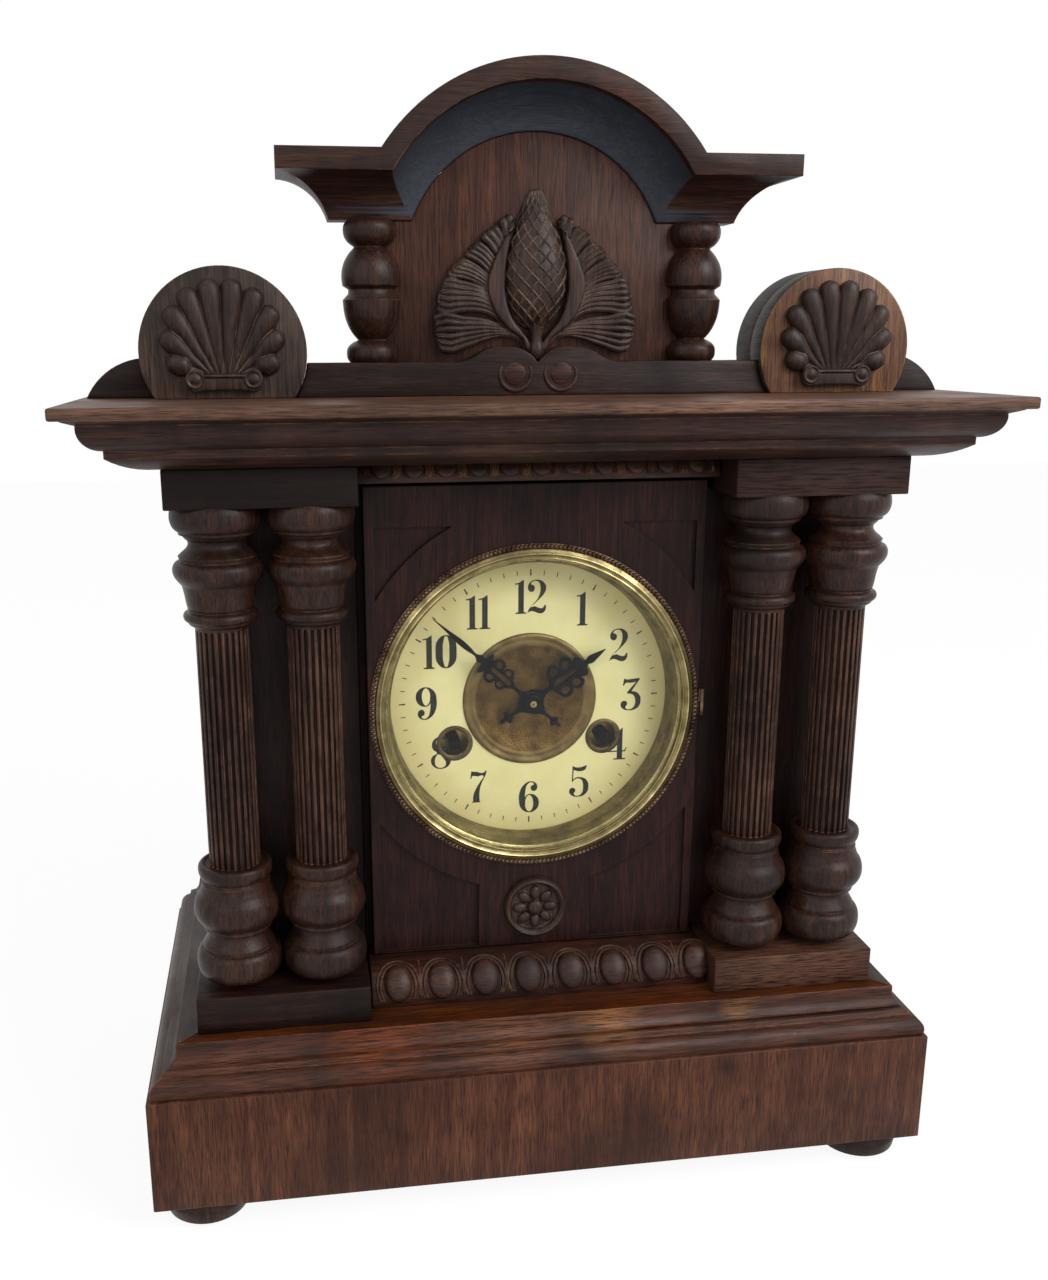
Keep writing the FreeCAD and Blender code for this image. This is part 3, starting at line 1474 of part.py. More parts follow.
# Toothed wheels have plain pointed teeth, worked out by formula from the arbors' centres.
tooth_tip_share = 0.55
tooth_root_share = 1.25


def star(label, points, outer, inner, thickness, bore, first_angle):
    """A flat wheel with pointed teeth, its first tip at an angle from +X."""
    corners = []
    for index in range(points * 2):
        angle = math.radians(first_angle) + math.pi * index / points
        reach = inner if index % 2 else outer
        corners.append(Vector(reach * math.cos(angle), reach * math.sin(angle), 0))
    solid = Part.Face(Part.makePolygon(corners + corners[:1])).extrude(Vector(0, 0, thickness))
    if bore:
        solid = solid.cut(Part.makeCylinder(bore, thickness))
    wheel = doc.addObject("Part::Feature", label)
    wheel.Shape = solid
    return wheel


def toothed(label, teeth, mates, distance, front_at, back_at, centre, first_angle, bore=0):
    """A wheel sized to meet its mate at a distance, between two depths."""
    module = 2 * distance / (teeth + mates)
    pitch_radius = module * teeth / 2
    wheel = star(label, teeth, pitch_radius + module * tooth_tip_share,
                 pitch_radius - module * tooth_root_share,
                 float(back_at) - float(front_at), bore, first_angle)
    return put(wheel, centre[0], at_depth(back_at), at_rise(centre[1]), to_front)


def meshing_angle(teeth, other_teeth, other_angle, direction):
    """The first tip's angle that sets a wheel's teeth in the gaps of the other wheel's.
    The direction runs from the other wheel's centre to this one's."""
    offset_share = (other_angle - direction) * other_teeth / 360 % 1
    return direction + 180 + (0.5 - offset_share) * 360 / teeth


def reach_between(first, second):
    return math.hypot(float(second[0]) - float(first[0]), float(second[1]) - float(first[1]))


def direction_between(first, second):
    return math.degrees(math.atan2(float(second[1]) - float(first[1]),
                                   float(second[0]) - float(first[0])))


centre = (zero, zero)
time_centre = (size.winding_across, size.winding_rise)
strike_centre = (-size.winding_across, size.winding_rise)
third_centre = (size.third_across, size.third_rise)
escape_centre = (zero, size.escape_rise)
motion_centre = (zero, -size.motion_post_drop)
barrel_teeth, centre_teeth, third_teeth, escape_teeth = 60, 64, 60, 30
pinion_leaves = 8
cannon_teeth, minute_teeth, minute_leaves, hour_teeth = 12, 36, 10, 40
straight_up = 90


def pinion_span(wheel_at):
    """A pinion's front and back, a little beyond the wheel that it meets."""
    return (wheel_at - size.pinion_overhang,
            wheel_at + size.wheel_thickness + size.pinion_overhang)


# Barrels and winding arbors: the time barrel drives the train, the strike barrel its twin.
def barrels():
    bore = mm.winding_arbor_radius + mm.running_gap
    wheel_at = barrel_at - size.barrel_wheel_thickness
    angle = meshing_angle(barrel_teeth, pinion_leaves, straight_up,
                          direction_between(centre, time_centre))
    wheel = toothed("time_barrel_wheel", barrel_teeth, pinion_leaves,
                    reach_between(centre, time_centre), wheel_at, barrel_at,
                    time_centre, angle, bore)
    keep("time_barrel", fuse("time_barrel", [wheel, drum("time_drum", time_centre)]))
    tip = mm.strike_barrel_tip_radius
    wheel = star("strike_barrel_wheel", barrel_teeth, tip, tip - mm.strike_barrel_tooth,
                 mm.barrel_wheel_thickness, bore, straight_up)
    put(wheel, strike_centre[0], at_depth(barrel_at), at_rise(strike_centre[1]),
        to_front)
    keep("strike_barrel", fuse("strike_barrel", [wheel, drum("strike_drum", strike_centre)]))


def drum(label, where):
    outside = arbor(f"{label}_outside", size.barrel_radius, barrel_at, barrel_back, *where)
    bore = arbor(f"{label}_bore", size.winding_arbor_radius + size.running_gap,
                 barrel_at - size.cut_overrun, barrel_back + size.cut_overrun, *where)
    return cut(label, outside, bore)


def winding_arbor(label, where):
    side = size.winding_square
    square_back = winding_arbor_end + size.winding_square_length
    key_end = board(f"{label}_square", side, size.winding_square_length, side,
                    where[0] - side / 2, at_depth(winding_arbor_end),
                    at_rise(where[1] - side / 2))
    shaft = arbor(f"{label}_shaft", size.winding_arbor_radius, square_back, back_plate_back,
                  *where)
    keep(label, fuse(label, [key_end, shaft]))


barrels()
winding_arbor("time_winding_arbor", time_centre)
winding_arbor("strike_winding_arbor", strike_centre)


# Going train: the centre arbor turns once an hour and carries the cannon pinion's pipe.
def centre_arbor():
    wheel_back = centre_wheel_at + size.wheel_thickness
    end_at = minute_hand_at - size.hand_nut_length - size.centre_arbor_end
    shaft = arbor("centre_shaft", size.arbor_radius, end_at, wheel_back)
    pivot = arbor("centre_pivot", size.centre_pivot_radius, wheel_back, back_plate_back)
    pinion = toothed("centre_pinion", pinion_leaves, barrel_teeth,
                     reach_between(centre, time_centre),
                     barrel_at - size.barrel_wheel_thickness - size.pinion_overhang,
                     barrel_at + size.pinion_overhang, centre, straight_up)
    wheel = toothed("centre_wheel", centre_teeth, pinion_leaves,
                    reach_between(centre, third_centre), centre_wheel_at,
                    wheel_back, centre, straight_up)
    front_at, back_at = pinion_span(cannon_wheel_at)
    cannon = toothed("cannon_teeth", cannon_teeth, minute_teeth,
                     reach_between(centre, motion_centre), front_at, back_at, centre,
                     straight_up)
    pipe = arbor("cannon_pipe", size.cannon_radius, minute_hand_at, back_at)
    keep("centre_arbor", fuse("centre_arbor", [shaft, pivot, pinion, wheel, cannon, pipe]))


def third_wheel():
    angle = meshing_angle(pinion_leaves, centre_teeth, straight_up,
                          direction_between(centre, third_centre))
    shaft = arbor("third_shaft", size.arbor_radius, front_plate_at,
                  back_plate_back, *third_centre)
    pinion = toothed("third_pinion", pinion_leaves, centre_teeth,
                     reach_between(centre, third_centre),
                     *pinion_span(centre_wheel_at), third_centre, angle)
    wheel = toothed("third_teeth", third_teeth, pinion_leaves,
                    reach_between(third_centre, escape_centre), third_wheel_at,
                    third_wheel_at + size.wheel_thickness, third_centre,
                    straight_up)
    keep("third_wheel", fuse("third_wheel", [shaft, pinion, wheel]))


def escape_wheel():
    angle = meshing_angle(pinion_leaves, third_teeth, straight_up,
                          direction_between(third_centre, escape_centre))
    shaft = arbor("escape_shaft", size.arbor_radius, front_plate_at,
                  back_plate_back, *escape_centre)
    pinion = toothed("escape_pinion", pinion_leaves, third_teeth,
                     reach_between(third_centre, escape_centre),
                     *pinion_span(third_wheel_at), escape_centre, angle)
    tip = mm.escape_radius
    wheel = star("escape_teeth", escape_teeth, tip, tip - mm.escape_tooth,
                 mm.wheel_thickness, 0, straight_up)
    put(wheel, escape_centre[0], at_depth(escape_wheel_at + size.wheel_thickness),
        at_rise(escape_centre[1]), to_front)
    keep("escape_wheel", fuse("escape_wheel", [shaft, pinion, wheel]))


centre_arbor()
third_wheel()
escape_wheel()


# Motion work: the cannon pinion turns the minute wheel on its post, whose small pinion
# turns the hour wheel once in twelve hours.
def motion_work():
    bore = mm.motion_post_radius + mm.running_gap
    angle = meshing_angle(minute_teeth, cannon_teeth, straight_up,
                          direction_between(centre, motion_centre))
    wheel_back = cannon_wheel_at + size.wheel_thickness
    wheel = toothed("minute_teeth", minute_teeth, cannon_teeth,
                    reach_between(centre, motion_centre), cannon_wheel_at,
                    wheel_back, motion_centre, angle, bore)
    pinion = toothed("minute_pinion", minute_leaves, hour_teeth,
                     reach_between(centre, motion_centre),
                     hour_wheel_at - size.pinion_overhang,
                     cannon_wheel_at, motion_centre, straight_up, bore)
    keep("minute_wheel", fuse("minute_wheel", [wheel, pinion]))
    angle = meshing_angle(hour_teeth, minute_leaves, straight_up,
                          direction_between(motion_centre, centre))
    pipe_bore = size.cannon_radius + size.running_gap
    wheel_back = hour_wheel_at + size.wheel_thickness
    wheel = toothed("hour_teeth", hour_teeth, minute_leaves,
                    reach_between(centre, motion_centre), hour_wheel_at,
                    wheel_back, centre, angle)
    pipe = arbor("hour_pipe", size.hour_pipe_radius, hour_hand_at, wheel_back)
    hole = arbor("hour_bore", pipe_bore, hour_hand_at - size.cut_overrun,
                 wheel_back + size.cut_overrun)
    keep("hour_wheel", cut("hour_wheel", fuse("hour_wheel_solid", [wheel, pipe]), hole))


motion_work()

# Anchor: two thin pallets on a rocking bridge, with a crutch that takes the pendulum along.
diagonal_share = math.sqrt(0.5)
anchor_hub_shares = [(0.0, -0.27), (0.18, -0.26)]
anchor_shoulder_shares = [(0.27, 0.04), (0.2, 0.2), (0.0, 0.27)]
pallet_root_share = 1.22
pallet_back_share = 1.41


def pallet_point(reach, aside):
    """A point by the right pallet: along and across the diagonal from the escape wheel."""
    return ((reach - aside) * diagonal_share, (reach + aside) * diagonal_share - anchor_drop)


def anchor():
    radius = size.escape_radius
    edge = size.pallet_thickness / 2
    hub = [(radius * share[0], radius * share[1]) for share in anchor_hub_shares]
    shoulder = [(radius * share[0], radius * share[1]) for share in anchor_shoulder_shares]
    tip = radius + size.pallet_gap
    pallet = [pallet_point(radius * pallet_root_share, edge), pallet_point(tip, edge),
              pallet_point(tip, -edge), pallet_point(radius * pallet_back_share, -edge)]
    bridge = plate("anchor_bridge", both_sides(hub + pallet + shoulder),
                   size.anchor_thickness)
    middle = escape_wheel_at + size.wheel_thickness / 2
    put(bridge, zero, at_depth(middle + size.anchor_thickness / 2), at_rise(anchor_rise),
        to_front)
    crutch_back = crutch_at + size.crutch_thickness
    shaft = arbor("anchor_shaft", size.arbor_radius, front_plate_at, crutch_back,
                  zero, anchor_rise)
    bar = board("crutch_bar", size.crutch_width, size.crutch_thickness,
                size.crutch_length + size.crutch_width / 2, -size.crutch_width / 2,
                at_depth(crutch_at), at_rise(anchor_rise - size.crutch_length))
    gap = size.pendulum_rod_radius + size.fit_gap
    foot_half = gap + size.prong_thickness
    foot = board("crutch_foot", foot_half * 2, size.crutch_thickness, size.prong_height,
                 -foot_half, at_depth(crutch_at),
                 at_rise(anchor_rise - size.crutch_length))
    prong = board("prong", size.prong_thickness, size.prong_length, size.prong_height, gap,
                  at_depth(crutch_at), at_rise(anchor_rise - size.crutch_length))
    keep("anchor", fuse("anchor", [bridge, shaft, bar, foot, prong,
                                   mirrored(prong, Vector(1, 0, 0))]))


anchor()

# Pendulum: a brass bob on a thin rod, held up by the rating nut under it.
bob_profile_shares = [(0.3, 0.0), (0.86, 0.3), (1.0, 0.5), (0.86, 0.7), (0.3, 1.0)]


def pendulum():
    bob = turned("bob", turned_corners(bob_profile_shares, size.bob_radius,
                                       size.bob_thickness))
    depth = at_depth(pendulum_at)
    put(bob, zero, depth + size.bob_thickness / 2,
        at_rise(anchor_rise - size.pendulum_length), to_front)
    nut_top = anchor_rise - size.pendulum_length - size.bob_radius
    nut = rod("rating_nut", size.rating_nut_radius, size.rating_nut_height, zero, depth,
              at_rise(nut_top - size.rating_nut_height))
    bottom = nut_top - size.rating_nut_height * 2
    stem = rod("pendulum_rod", size.pendulum_rod_radius,
               anchor_rise + size.suspension_rise - bottom, zero, depth, at_rise(bottom))
    keep("pendulum", fuse("pendulum", [bob, nut, stem]))


pendulum()


# Strike: a hammer on its own arbor and two hanging gong rods.
def hammer():
    half = size.hammer_arm_width / 2
    arm = plate("hammer_arm", rectangle(-half, -size.hammer_arm_length, half, half),
                size.hammer_arm_thickness)
    turn = Rotation(Vector(0, 1, 0), mm.hammer_angle) * to_front
    arm_back = hammer_at + size.hammer_arm_thickness / 2
    put(arm, size.hammer_across, at_depth(arm_back), at_rise(size.hammer_rise), turn)
    shaft = arbor("hammer_shaft", size.hammer_arbor_radius, front_plate_at,
                  arm_back, size.hammer_across, size.hammer_rise)
    angle = math.radians(mm.hammer_angle)
    head = arbor("hammer_head", size.hammer_head_radius,
                 hammer_at - size.hammer_head_length / 2,
                 hammer_at + size.hammer_head_length / 2,
                 size.hammer_across - size.hammer_arm_length * math.sin(angle),
                 size.hammer_rise - size.hammer_arm_length * math.cos(angle))
    keep("hammer", fuse("hammer", [arm, shaft, head]))


def gong():
    top = cornice_board_bottom - size.carcase_board
    bottom = top - size.gong_block_height
    middle = at_depth(hammer_at)
    block = board("gong_block", size.gong_block_width, size.gong_block_depth,
                  size.gong_block_height, size.gong_across - size.gong_block_width / 2,
                  middle - size.gong_block_depth / 2, bottom)
    rod_end = deck + size.gong_rod_above_deck
    rods = [rod(f"gong_rod_{number}", size.gong_rod_radius,
                bottom + size.gong_block_height / 2 - rod_end, size.gong_across,
                middle + size.gong_rod_spacing * side, rod_end)
            for number, side in ((1, -0.5), (2, 0.5))]
    keep("gong", fuse("gong", [block, *rods]))


hammer()
gong()

# Work everything out, and stop if any object or solid is not sound.
doc.recompute()
faults = [f"{thing.Label}: {thing.State}" for thing in doc.Objects
          if any(mark in thing.State for mark in ("Invalid", "Error"))]
for piece in pieces:
    if piece.Shape.isNull() or not piece.Shape.isValid() or not piece.Shape.Solids:
        faults.append(f"{piece.Label}: shape is not sound")
if faults:
    raise RuntimeError("\n".join(faults))

os.makedirs("parts", exist_ok=True)
for piece in pieces:
    piece.Shape.exportStep(f"parts/{piece.Label}.step")
print(len(pieces), "sub-parts written")
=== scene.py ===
# %% [markdown]
# # A mantel clock in the old German style
# The clock is a small temple front in dark stained wood. It stands on four bun feet, and its
# round dial sits behind a hinged brass bezel between two pairs of fluted columns. The solids
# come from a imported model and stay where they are. This lesson dresses them: it softens their
# edges, stains and wears the wood, carves the ornaments, and prints the dial.

# %% Load the solids
import json
import math
from contextlib import contextmanager

import bpy
from mathutils import Matrix, Vector

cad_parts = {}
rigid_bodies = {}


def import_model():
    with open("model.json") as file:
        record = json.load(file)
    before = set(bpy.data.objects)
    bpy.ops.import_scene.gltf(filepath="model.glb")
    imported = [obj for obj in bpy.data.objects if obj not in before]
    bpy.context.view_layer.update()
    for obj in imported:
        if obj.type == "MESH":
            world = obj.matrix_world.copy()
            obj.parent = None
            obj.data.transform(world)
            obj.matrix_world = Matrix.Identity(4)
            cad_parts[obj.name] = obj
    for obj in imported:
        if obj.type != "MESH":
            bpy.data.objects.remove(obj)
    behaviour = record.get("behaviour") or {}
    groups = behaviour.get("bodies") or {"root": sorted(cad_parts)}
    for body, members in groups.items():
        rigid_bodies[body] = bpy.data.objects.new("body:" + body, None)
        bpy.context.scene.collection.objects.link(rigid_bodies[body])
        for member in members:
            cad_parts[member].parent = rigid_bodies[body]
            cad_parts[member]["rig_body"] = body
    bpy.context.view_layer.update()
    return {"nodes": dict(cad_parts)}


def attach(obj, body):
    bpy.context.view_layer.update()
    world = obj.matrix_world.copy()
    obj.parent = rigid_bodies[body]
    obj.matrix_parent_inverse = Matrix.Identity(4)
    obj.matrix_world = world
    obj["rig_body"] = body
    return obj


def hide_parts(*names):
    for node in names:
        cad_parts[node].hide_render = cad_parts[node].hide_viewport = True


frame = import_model()

# %% [markdown]
# Every size below is in millimetres, as on a workshop drawing, and Blender works in metres.
# The drawing measures depth from the plinth's front face, and the dial's own sizes from the
# middle of the dial, so two small functions turn such places into points.

# %% Places on the clock
MM = 0.001
PLINTH_FRONT = -87.5
DIAL_CENTRE = 212.7
DIAL_FRONT = 61.3
PANEL_FRONT = 46.0
CREST_FLOOR = 345.5
CREST_FACE = 58.0


def place(across, depth, up):
    """A point from its distance right of the middle, behind the plinth's front, and up."""
    return Vector((across, PLINTH_FRONT + depth, up)) * MM


def dial_place(across, rise, depth=DIAL_FRONT):
    """A point given from the dial's centre."""
    return place(across, depth, DIAL_CENTRE + rise)


print("middle of the dial, in metres:", dial_place(0, 0))

# %% [markdown]
# Colours are picked from the clock as hex values. A screen value is not a light value, so one
# function turns each hex code into the linear numbers that a shader needs.

# %% Colours
def linear(code):
    """Linear red, green, blue and alpha from an sRGB hex code."""
    parts = [int(code[i:i + 2], 16) / 255 for i in (1, 3, 5)]
    light = [p / 12.92 if p <= 0.04045 else ((p + 0.055) / 1.055) ** 2.4 for p in parts]
    return (*light, 1.0)


print("mid grey as light:", linear("#808080"))

# %% [markdown]
# A material is a small network of nodes. Adding one by hand takes a call for the node, one for
# each setting and one for each link, so one helper does all three. Where an input is given a
# node, its first output is linked, which is nearly always the one that is wanted.

# %% A helper for shader nodes
def add(tree, kind, inputs=None, **settings):
    """Add a node, set its options, and fill its inputs or link them to other nodes."""
    made = tree.nodes.new("ShaderNode" + kind)
    for name, value in settings.items():
        setattr(made, name, value)
    for name, value in (inputs or {}).items():
        if isinstance(value, bpy.types.Node):
            value = next(socket for socket in value.outputs if socket.enabled)
        if isinstance(value, bpy.types.NodeSocket):
            tree.links.new(value, made.inputs[name])
        else:
            made.inputs[name].default_value = value
    return made


def new_material(name):
    """An empty material, and its tree to add nodes to."""
    material = bpy.data.materials.new(name)
    material.use_nodes = True
    material.node_tree.nodes.clear()
    return material, material.node_tree


# %% [markdown]
# ## Stained beech and alder
# The case is beech and alder, stained dark and rubbed with shellac. Three things give it its
# look. Fine dark pores run along the grain. Broader bands of colour follow the growth rings.
# And a century of dusting has rubbed the stain off the edges, where the pale wood shows
# through. The grain runs along one axis, so the pattern is stretched along that axis with a
# Mapping node. Old shellac is dull, so its shine is set below that of new varnish.

# %% Wood shader
# Real pores are a tenth of a millimetre wide. They are drawn at half a millimetre, to show.
PORE_LENGTH = 11.0
STRETCH = 20
GRAIN_STRETCH = {"X": (1, STRETCH, STRETCH), "Y": (STRETCH, 1, STRETCH),
                 "Z": (STRETCH, STRETCH, 1)}
STAIN_BLOTCH = 46.0
RUBBED_SPOT = 9.0


def stained_wood(name, pore, body, pale, grain="X", wear=0.5, dull=0.42, worn="#7A4B2A",
                 band_mm=3.0, edge_mm=0.8, shine=0.18, scuffs_and_painted_light=()):
    """Stained wood with pores, bands, stain blotches, scuffs, painted light and shade, and pale
    worn edges.
    """
    material, tree = new_material(name)
    coords = add(tree, "TexCoord").outputs["Object"]
    stretched = add(tree, "Mapping", {"Vector": coords, "Scale": GRAIN_STRETCH[grain]})
    pores = add(tree, "TexNoise", {"Vector": stretched, "Scale": 1 / (PORE_LENGTH * MM),
                                   "Detail": 5.0, "Roughness": 0.6})
    bands = add(tree, "TexNoise", {"Vector": stretched, "Scale": 1 / (band_mm * STRETCH * MM),
                                   "Detail": 4.0, "Roughness": 0.6, "Distortion": 0.6})
    blotch = add(tree, "TexNoise", {"Vector": coords, "Scale": 1 / (STAIN_BLOTCH * MM),
                                    "Detail": 5.0, "Roughness": 0.62})
    rub = add(tree, "TexNoise", {"Vector": coords, "Scale": 1 / (RUBBED_SPOT * MM),
                                 "Detail": 6.0, "Roughness": 0.7})
    # The colour: bands, then dark pores, then blotches of stain, then the scuffs and the patches
    # of painted light and shade.
    band_mask = add(tree, "MapRange", {"Value": bands, "From Min": 0.36, "From Max": 0.66})
    pore_mask = add(tree, "MapRange", {"Value": pores, "From Min": 0.34, "From Max": 0.56})
    stain = add(tree, "MapRange", {"Value": blotch, "From Min": 0.4, "From Max": 0.66,
                                   "To Max": 0.7})
    coloured = add(tree, "Mix", {"Factor": band_mask, "A": linear(body), "B": linear(pale)},
                   data_type="RGBA")
    coloured = add(tree, "Mix", {"Factor": pore_mask, "A": linear(pore), "B": coloured},
                   data_type="RGBA")
    coloured = add(tree, "Mix", {"Factor": stain, "A": coloured, "B": linear(pore)},
                   data_type="RGBA")
    for spot, reach_mm, tone, strength in scuffs_and_painted_light:
        away = add(tree, "VectorMath", {0: coords, 1: place(*spot)}, operation="DISTANCE")
        near = add(tree, "MapRange", {"Value": away, "From Min": reach_mm * MM,
                                      "From Max": 0.25 * reach_mm * MM, "To Max": strength})
        broken = add(tree, "MapRange", {"Value": pores, "From Min": 0.38, "From Max": 0.58})
        patch = add(tree, "Math", {0: near, 1: broken}, operation="MULTIPLY")
        coloured = add(tree, "Mix", {"Factor": patch, "A": coloured, "B": linear(tone)},
                       data_type="RGBA")
    # A rounded normal differs from the true one only close to an edge, so it finds edges.
    rounded = add(tree, "Bevel", {"Radius": edge_mm * MM}, samples=4)
    true_normal = add(tree, "NewGeometry").outputs["Normal"]
    likeness = add(tree, "VectorMath", {0: rounded, 1: true_normal},
                   operation="DOT_PRODUCT")
    edge = add(tree, "MapRange", {"Value": likeness, "From Min": 0.985, "From Max": 0.86})
    rub_mask = add(tree, "MapRange", {"Value": rub, "From Min": 0.62 - 0.22 * wear,
                                      "From Max": 0.78 - 0.22 * wear})
    rubbed_edge = add(tree, "Math", {0: edge, 1: rub_mask}, operation="MULTIPLY")
    thin = add(tree, "MapRange", {"Value": rub, "From Min": 0.76 - 0.1 * wear,
                                  "From Max": 0.92 - 0.1 * wear, "To Max": 0.6 * wear})
    bare = add(tree, "Math", {0: rubbed_edge, 1: thin}, operation="MAXIMUM")
    coloured = add(tree, "Mix", {"Factor": bare, "A": coloured, "B": linear(worn)},
                   data_type="RGBA")
    rough = add(tree, "MapRange", {"Value": blotch, "From Min": 0.3, "From Max": 0.7,
                                   "To Min": dull - 0.07, "To Max": dull + 0.15})
    bump = add(tree, "Bump", {"Height": pores, "Strength": 0.4, "Distance": 0.25 * MM,
                              "Normal": rounded})
    shader = add(tree, "BsdfPrincipled",
                 {"Base Color": coloured, "Roughness": rough, "IOR": 1.5,
                  "Specular IOR Level": shine, "Normal": bump})
    add(tree, "OutputMaterial", {"Surface": shader})
    return material


print("pores:", PORE_LENGTH, "mm long and", PORE_LENGTH / STRETCH, "mm wide")

# %% [markdown]
# The same shader makes every wood on the case. The tones differ from piece to piece: the
# turned columns took the stain darkest, and the veneers on the plinth and the crest are
# redder. The grain follows the length of each piece, as a joiner would lay it. Each finish has
# the tones of its pores, its body and its pale bands, then the axis of its grain. Scuffs, and
# patches of painted light and shade, each have a place, a reach in millimetres, a tone and a
# strength.

# %% Turned and planed beech
# Stained nearly black, with brown where hands and dusters reach the round parts.
beech_upright = stained_wood("Stained beech, turned, dusty in the hollows", "#0A0706",
                             "#2A1711", "#472C20", "Z", wear=0.62, worn="#80543A", dull=0.36,
                             shine=0.2)
# The lands stand proud and are rubbed brown, which draws each flute as a dark line.
shaft_land = stained_wood("Stained beech, lands between the flutes, rubbed", "#170D0A",
                          "#3A241C", "#5A3D30", "Z", wear=0.7, worn="#785846", band_mm=2.0)
# The cutter left the flutes rough, and the grime in them stays dark.
shaft_flute = stained_wood("Stained beech, bottom of the flutes, grimed", "#0E0907", "#241611",
                           "#3E281E", "Z", wear=0.2, worn="#5A3A24", band_mm=2.0)
# A moulding plane leaves long smooth runs, so the arrises catch a soft pale line.
beech_level = stained_wood("Stained beech, planed moulding", "#130B0A", "#321E17", "#503024",
                           "X", wear=0.75, worn="#8E6244", shine=0.2)
# The grain of the returns runs back, so they look plainer than the front.
beech_deep = stained_wood("Stained beech, planed moulding, side", "#150C09", "#301B14",
                          "#4C2E1F", "Y", wear=0.7, worn="#8A5A33")
# The base moulding was gripped each time the clock was lifted: it is worn to orange and tan.
rail_wood = stained_wood("Stained beech, base moulding, rubbed", "#1C0F0B", "#402317", "#603828",
                         "X", wear=0.85, worn="#966244", shine=0.22,
                         scuffs_and_painted_light=[((-74, 16, 80), 30, "#8A4318", 0.6),
                                 ((-18, 16, 80), 34, "#8A5532", 0.45),
                                 ((26, 14, 78), 18, "#A8703E", 0.5),
                                 ((86, 16, 78), 11, "#A8703E", 0.5)])
# The thin edge of the top board has lost the most stain, and reads as a light brown line.
board_edge = stained_wood("Stained beech, thin cornice board, rubbed", "#2B1A13", "#5C4032",
                          "#805C48", "X", wear=0.9, worn="#A47C5C", shine=0.24)
# Wiping has thinned the stain on the flat deck, and the beech glows through it red-brown.
deck_wood = stained_wood("Stained beech, deck, stain worn thin", "#1E0D05", "#421D08",
                         "#5F2D0B", "X", wear=0.5, worn="#80501C", shine=0.08)
# Sawn blocks drink stain, so they are matt and dark. The blocks on the right are painted lighter
# brown, as painted light from the right, and the left impost near black, as painted shade.
block_level = stained_wood("Stained beech, sawn block", "#0C0606", "#1C0F0B", "#352017", "X",
                           wear=0.45, worn="#7A4C2B", shine=0.14,
                           scuffs_and_painted_light=[((113, 19, 95), 78, "#644232", 0.85),
                                   ((113, 19, 318), 78, "#46302A", 0.6),
                                   ((-113, 19, 318), 70, "#080506", 0.85)])
# Thin trim behind the ornaments is hard to dust, so it stays a flat dark brown.
crest_trim = stained_wood("Stained beech, thin crest trim", "#0D0807", "#221512", "#3A2620",
                          "X", wear=0.6, worn="#6E5242", shine=0.15)
# Dust has settled in the turned face of the drum and greys it.
drum_wood = stained_wood("Stained beech, drum, dusty", "#120E0D", "#38291F", "#564338", "Z",
                         wear=0.62, worn="#80604A", dull=0.44, shine=0.24)

# %% [markdown]
# Veneer is a thin sheet glued over cheaper wood, so its figure is wide and even and it shows
# no end grain. The carvings are alder, which cuts cleanly, and the boards behind are pine.

# %% Veneers, carvings and plain boards
# Veneer is smooth and even, with fine upright lines, redder than the beech round it.
plinth_veneer = stained_wood("Walnut veneer, upright grain, plinth", "#26110B", "#4E2A1C",
                             "#6E432D", "Z", wear=0.35, worn="#8A5434", band_mm=4.0,
                             scuffs_and_painted_light=[((78, 0, 58), 5, "#140A08", 0.95),
                                     ((-96, 0, 30), 26, "#1C0D0A", 0.5),
                                     ((30, 0, 24), 30, "#22100B", 0.4)])
# Behind the columns the same veneer kept its stain, nearly black with a red tinge.
panel_veneer = stained_wood("Walnut veneer, upright grain, panel", "#0D0605", "#220F0C",
                            "#3C1D17", "Z", wear=0.3, worn="#5C3422", shine=0.16)
# On the crest the light has faded it to a warm red-brown.
crest_veneer = stained_wood("Walnut veneer, upright grain, crest", "#1C0D0A", "#3C2018",
                            "#583424", "Z", wear=0.35, worn="#7A4A30", band_mm=3.5)
# Black lacquer hides the grain, and dust on it looks blue-grey.
black_cove = stained_wood("Ebonised hollow of the hood", "#262930", "#30343C", "#3A3F48", "X",
                          wear=0.15, dull=0.5, worn="#5A5048", shine=0.24)
# Carved alder shows no bands: the ridges are polished by touch, and wax darkens the grooves.
carved_alder = stained_wood("Stained alder, carved", "#120C0A", "#2E1E18", "#4A352B", "Z",
                            wear=0.9, worn="#806A5A", edge_mm=0.45, shine=0.25)
# The egg strips took a redder stain, and their high spots are rubbed pale.
egg_alder = stained_wood("Stained alder, carved, reddish", "#140A08", "#321B14", "#543022",
                         "X", wear=0.9, worn="#946E4C", edge_mm=0.45, shine=0.27)
# With its stain gone, this face shows the light tan of the beech itself.
bare_beech = stained_wood("Beech face with the stain worn off", "#33201A", "#644232",
                          "#86603F", "Z", wear=0.9, worn="#B08A62", edge_mm=1.4)
# Dust on black lacquer makes the side of that drum a dull grey-brown.
dusty_drum = stained_wood("Ebonised drum side, dusty", "#25211F", "#3C3733", "#514A44", "Y",
                          wear=0.4, worn="#6A6056", dull=0.55)
# The hidden boards had one thin coat, so pine's broad bands stay in sight and nothing shines.
plain_pine = stained_wood("Stained pine, plain boards", "#22140D", "#3C2517", "#543722", "Z",
                          wear=0.2, worn="#7A5638", band_mm=5.0, dull=0.55)
print(len(bpy.data.materials), "materials after the woods")

# %% [markdown]
# ## Softened copies
# The solids arrive as loose triangles with knife-sharp edges. Real wood has neither. So each
# visible piece is copied, its triangles are merged into flat faces, and a narrow bevel softens
# its edges. The copy then stands for the solid, which stays hidden for the physics.

# %% Softened copies of the solids
def only(piece):
    """Select one object and nothing else."""
    bpy.ops.object.select_all(action="DESELECT")
    piece.select_set(True)
    bpy.context.view_layer.objects.active = piece


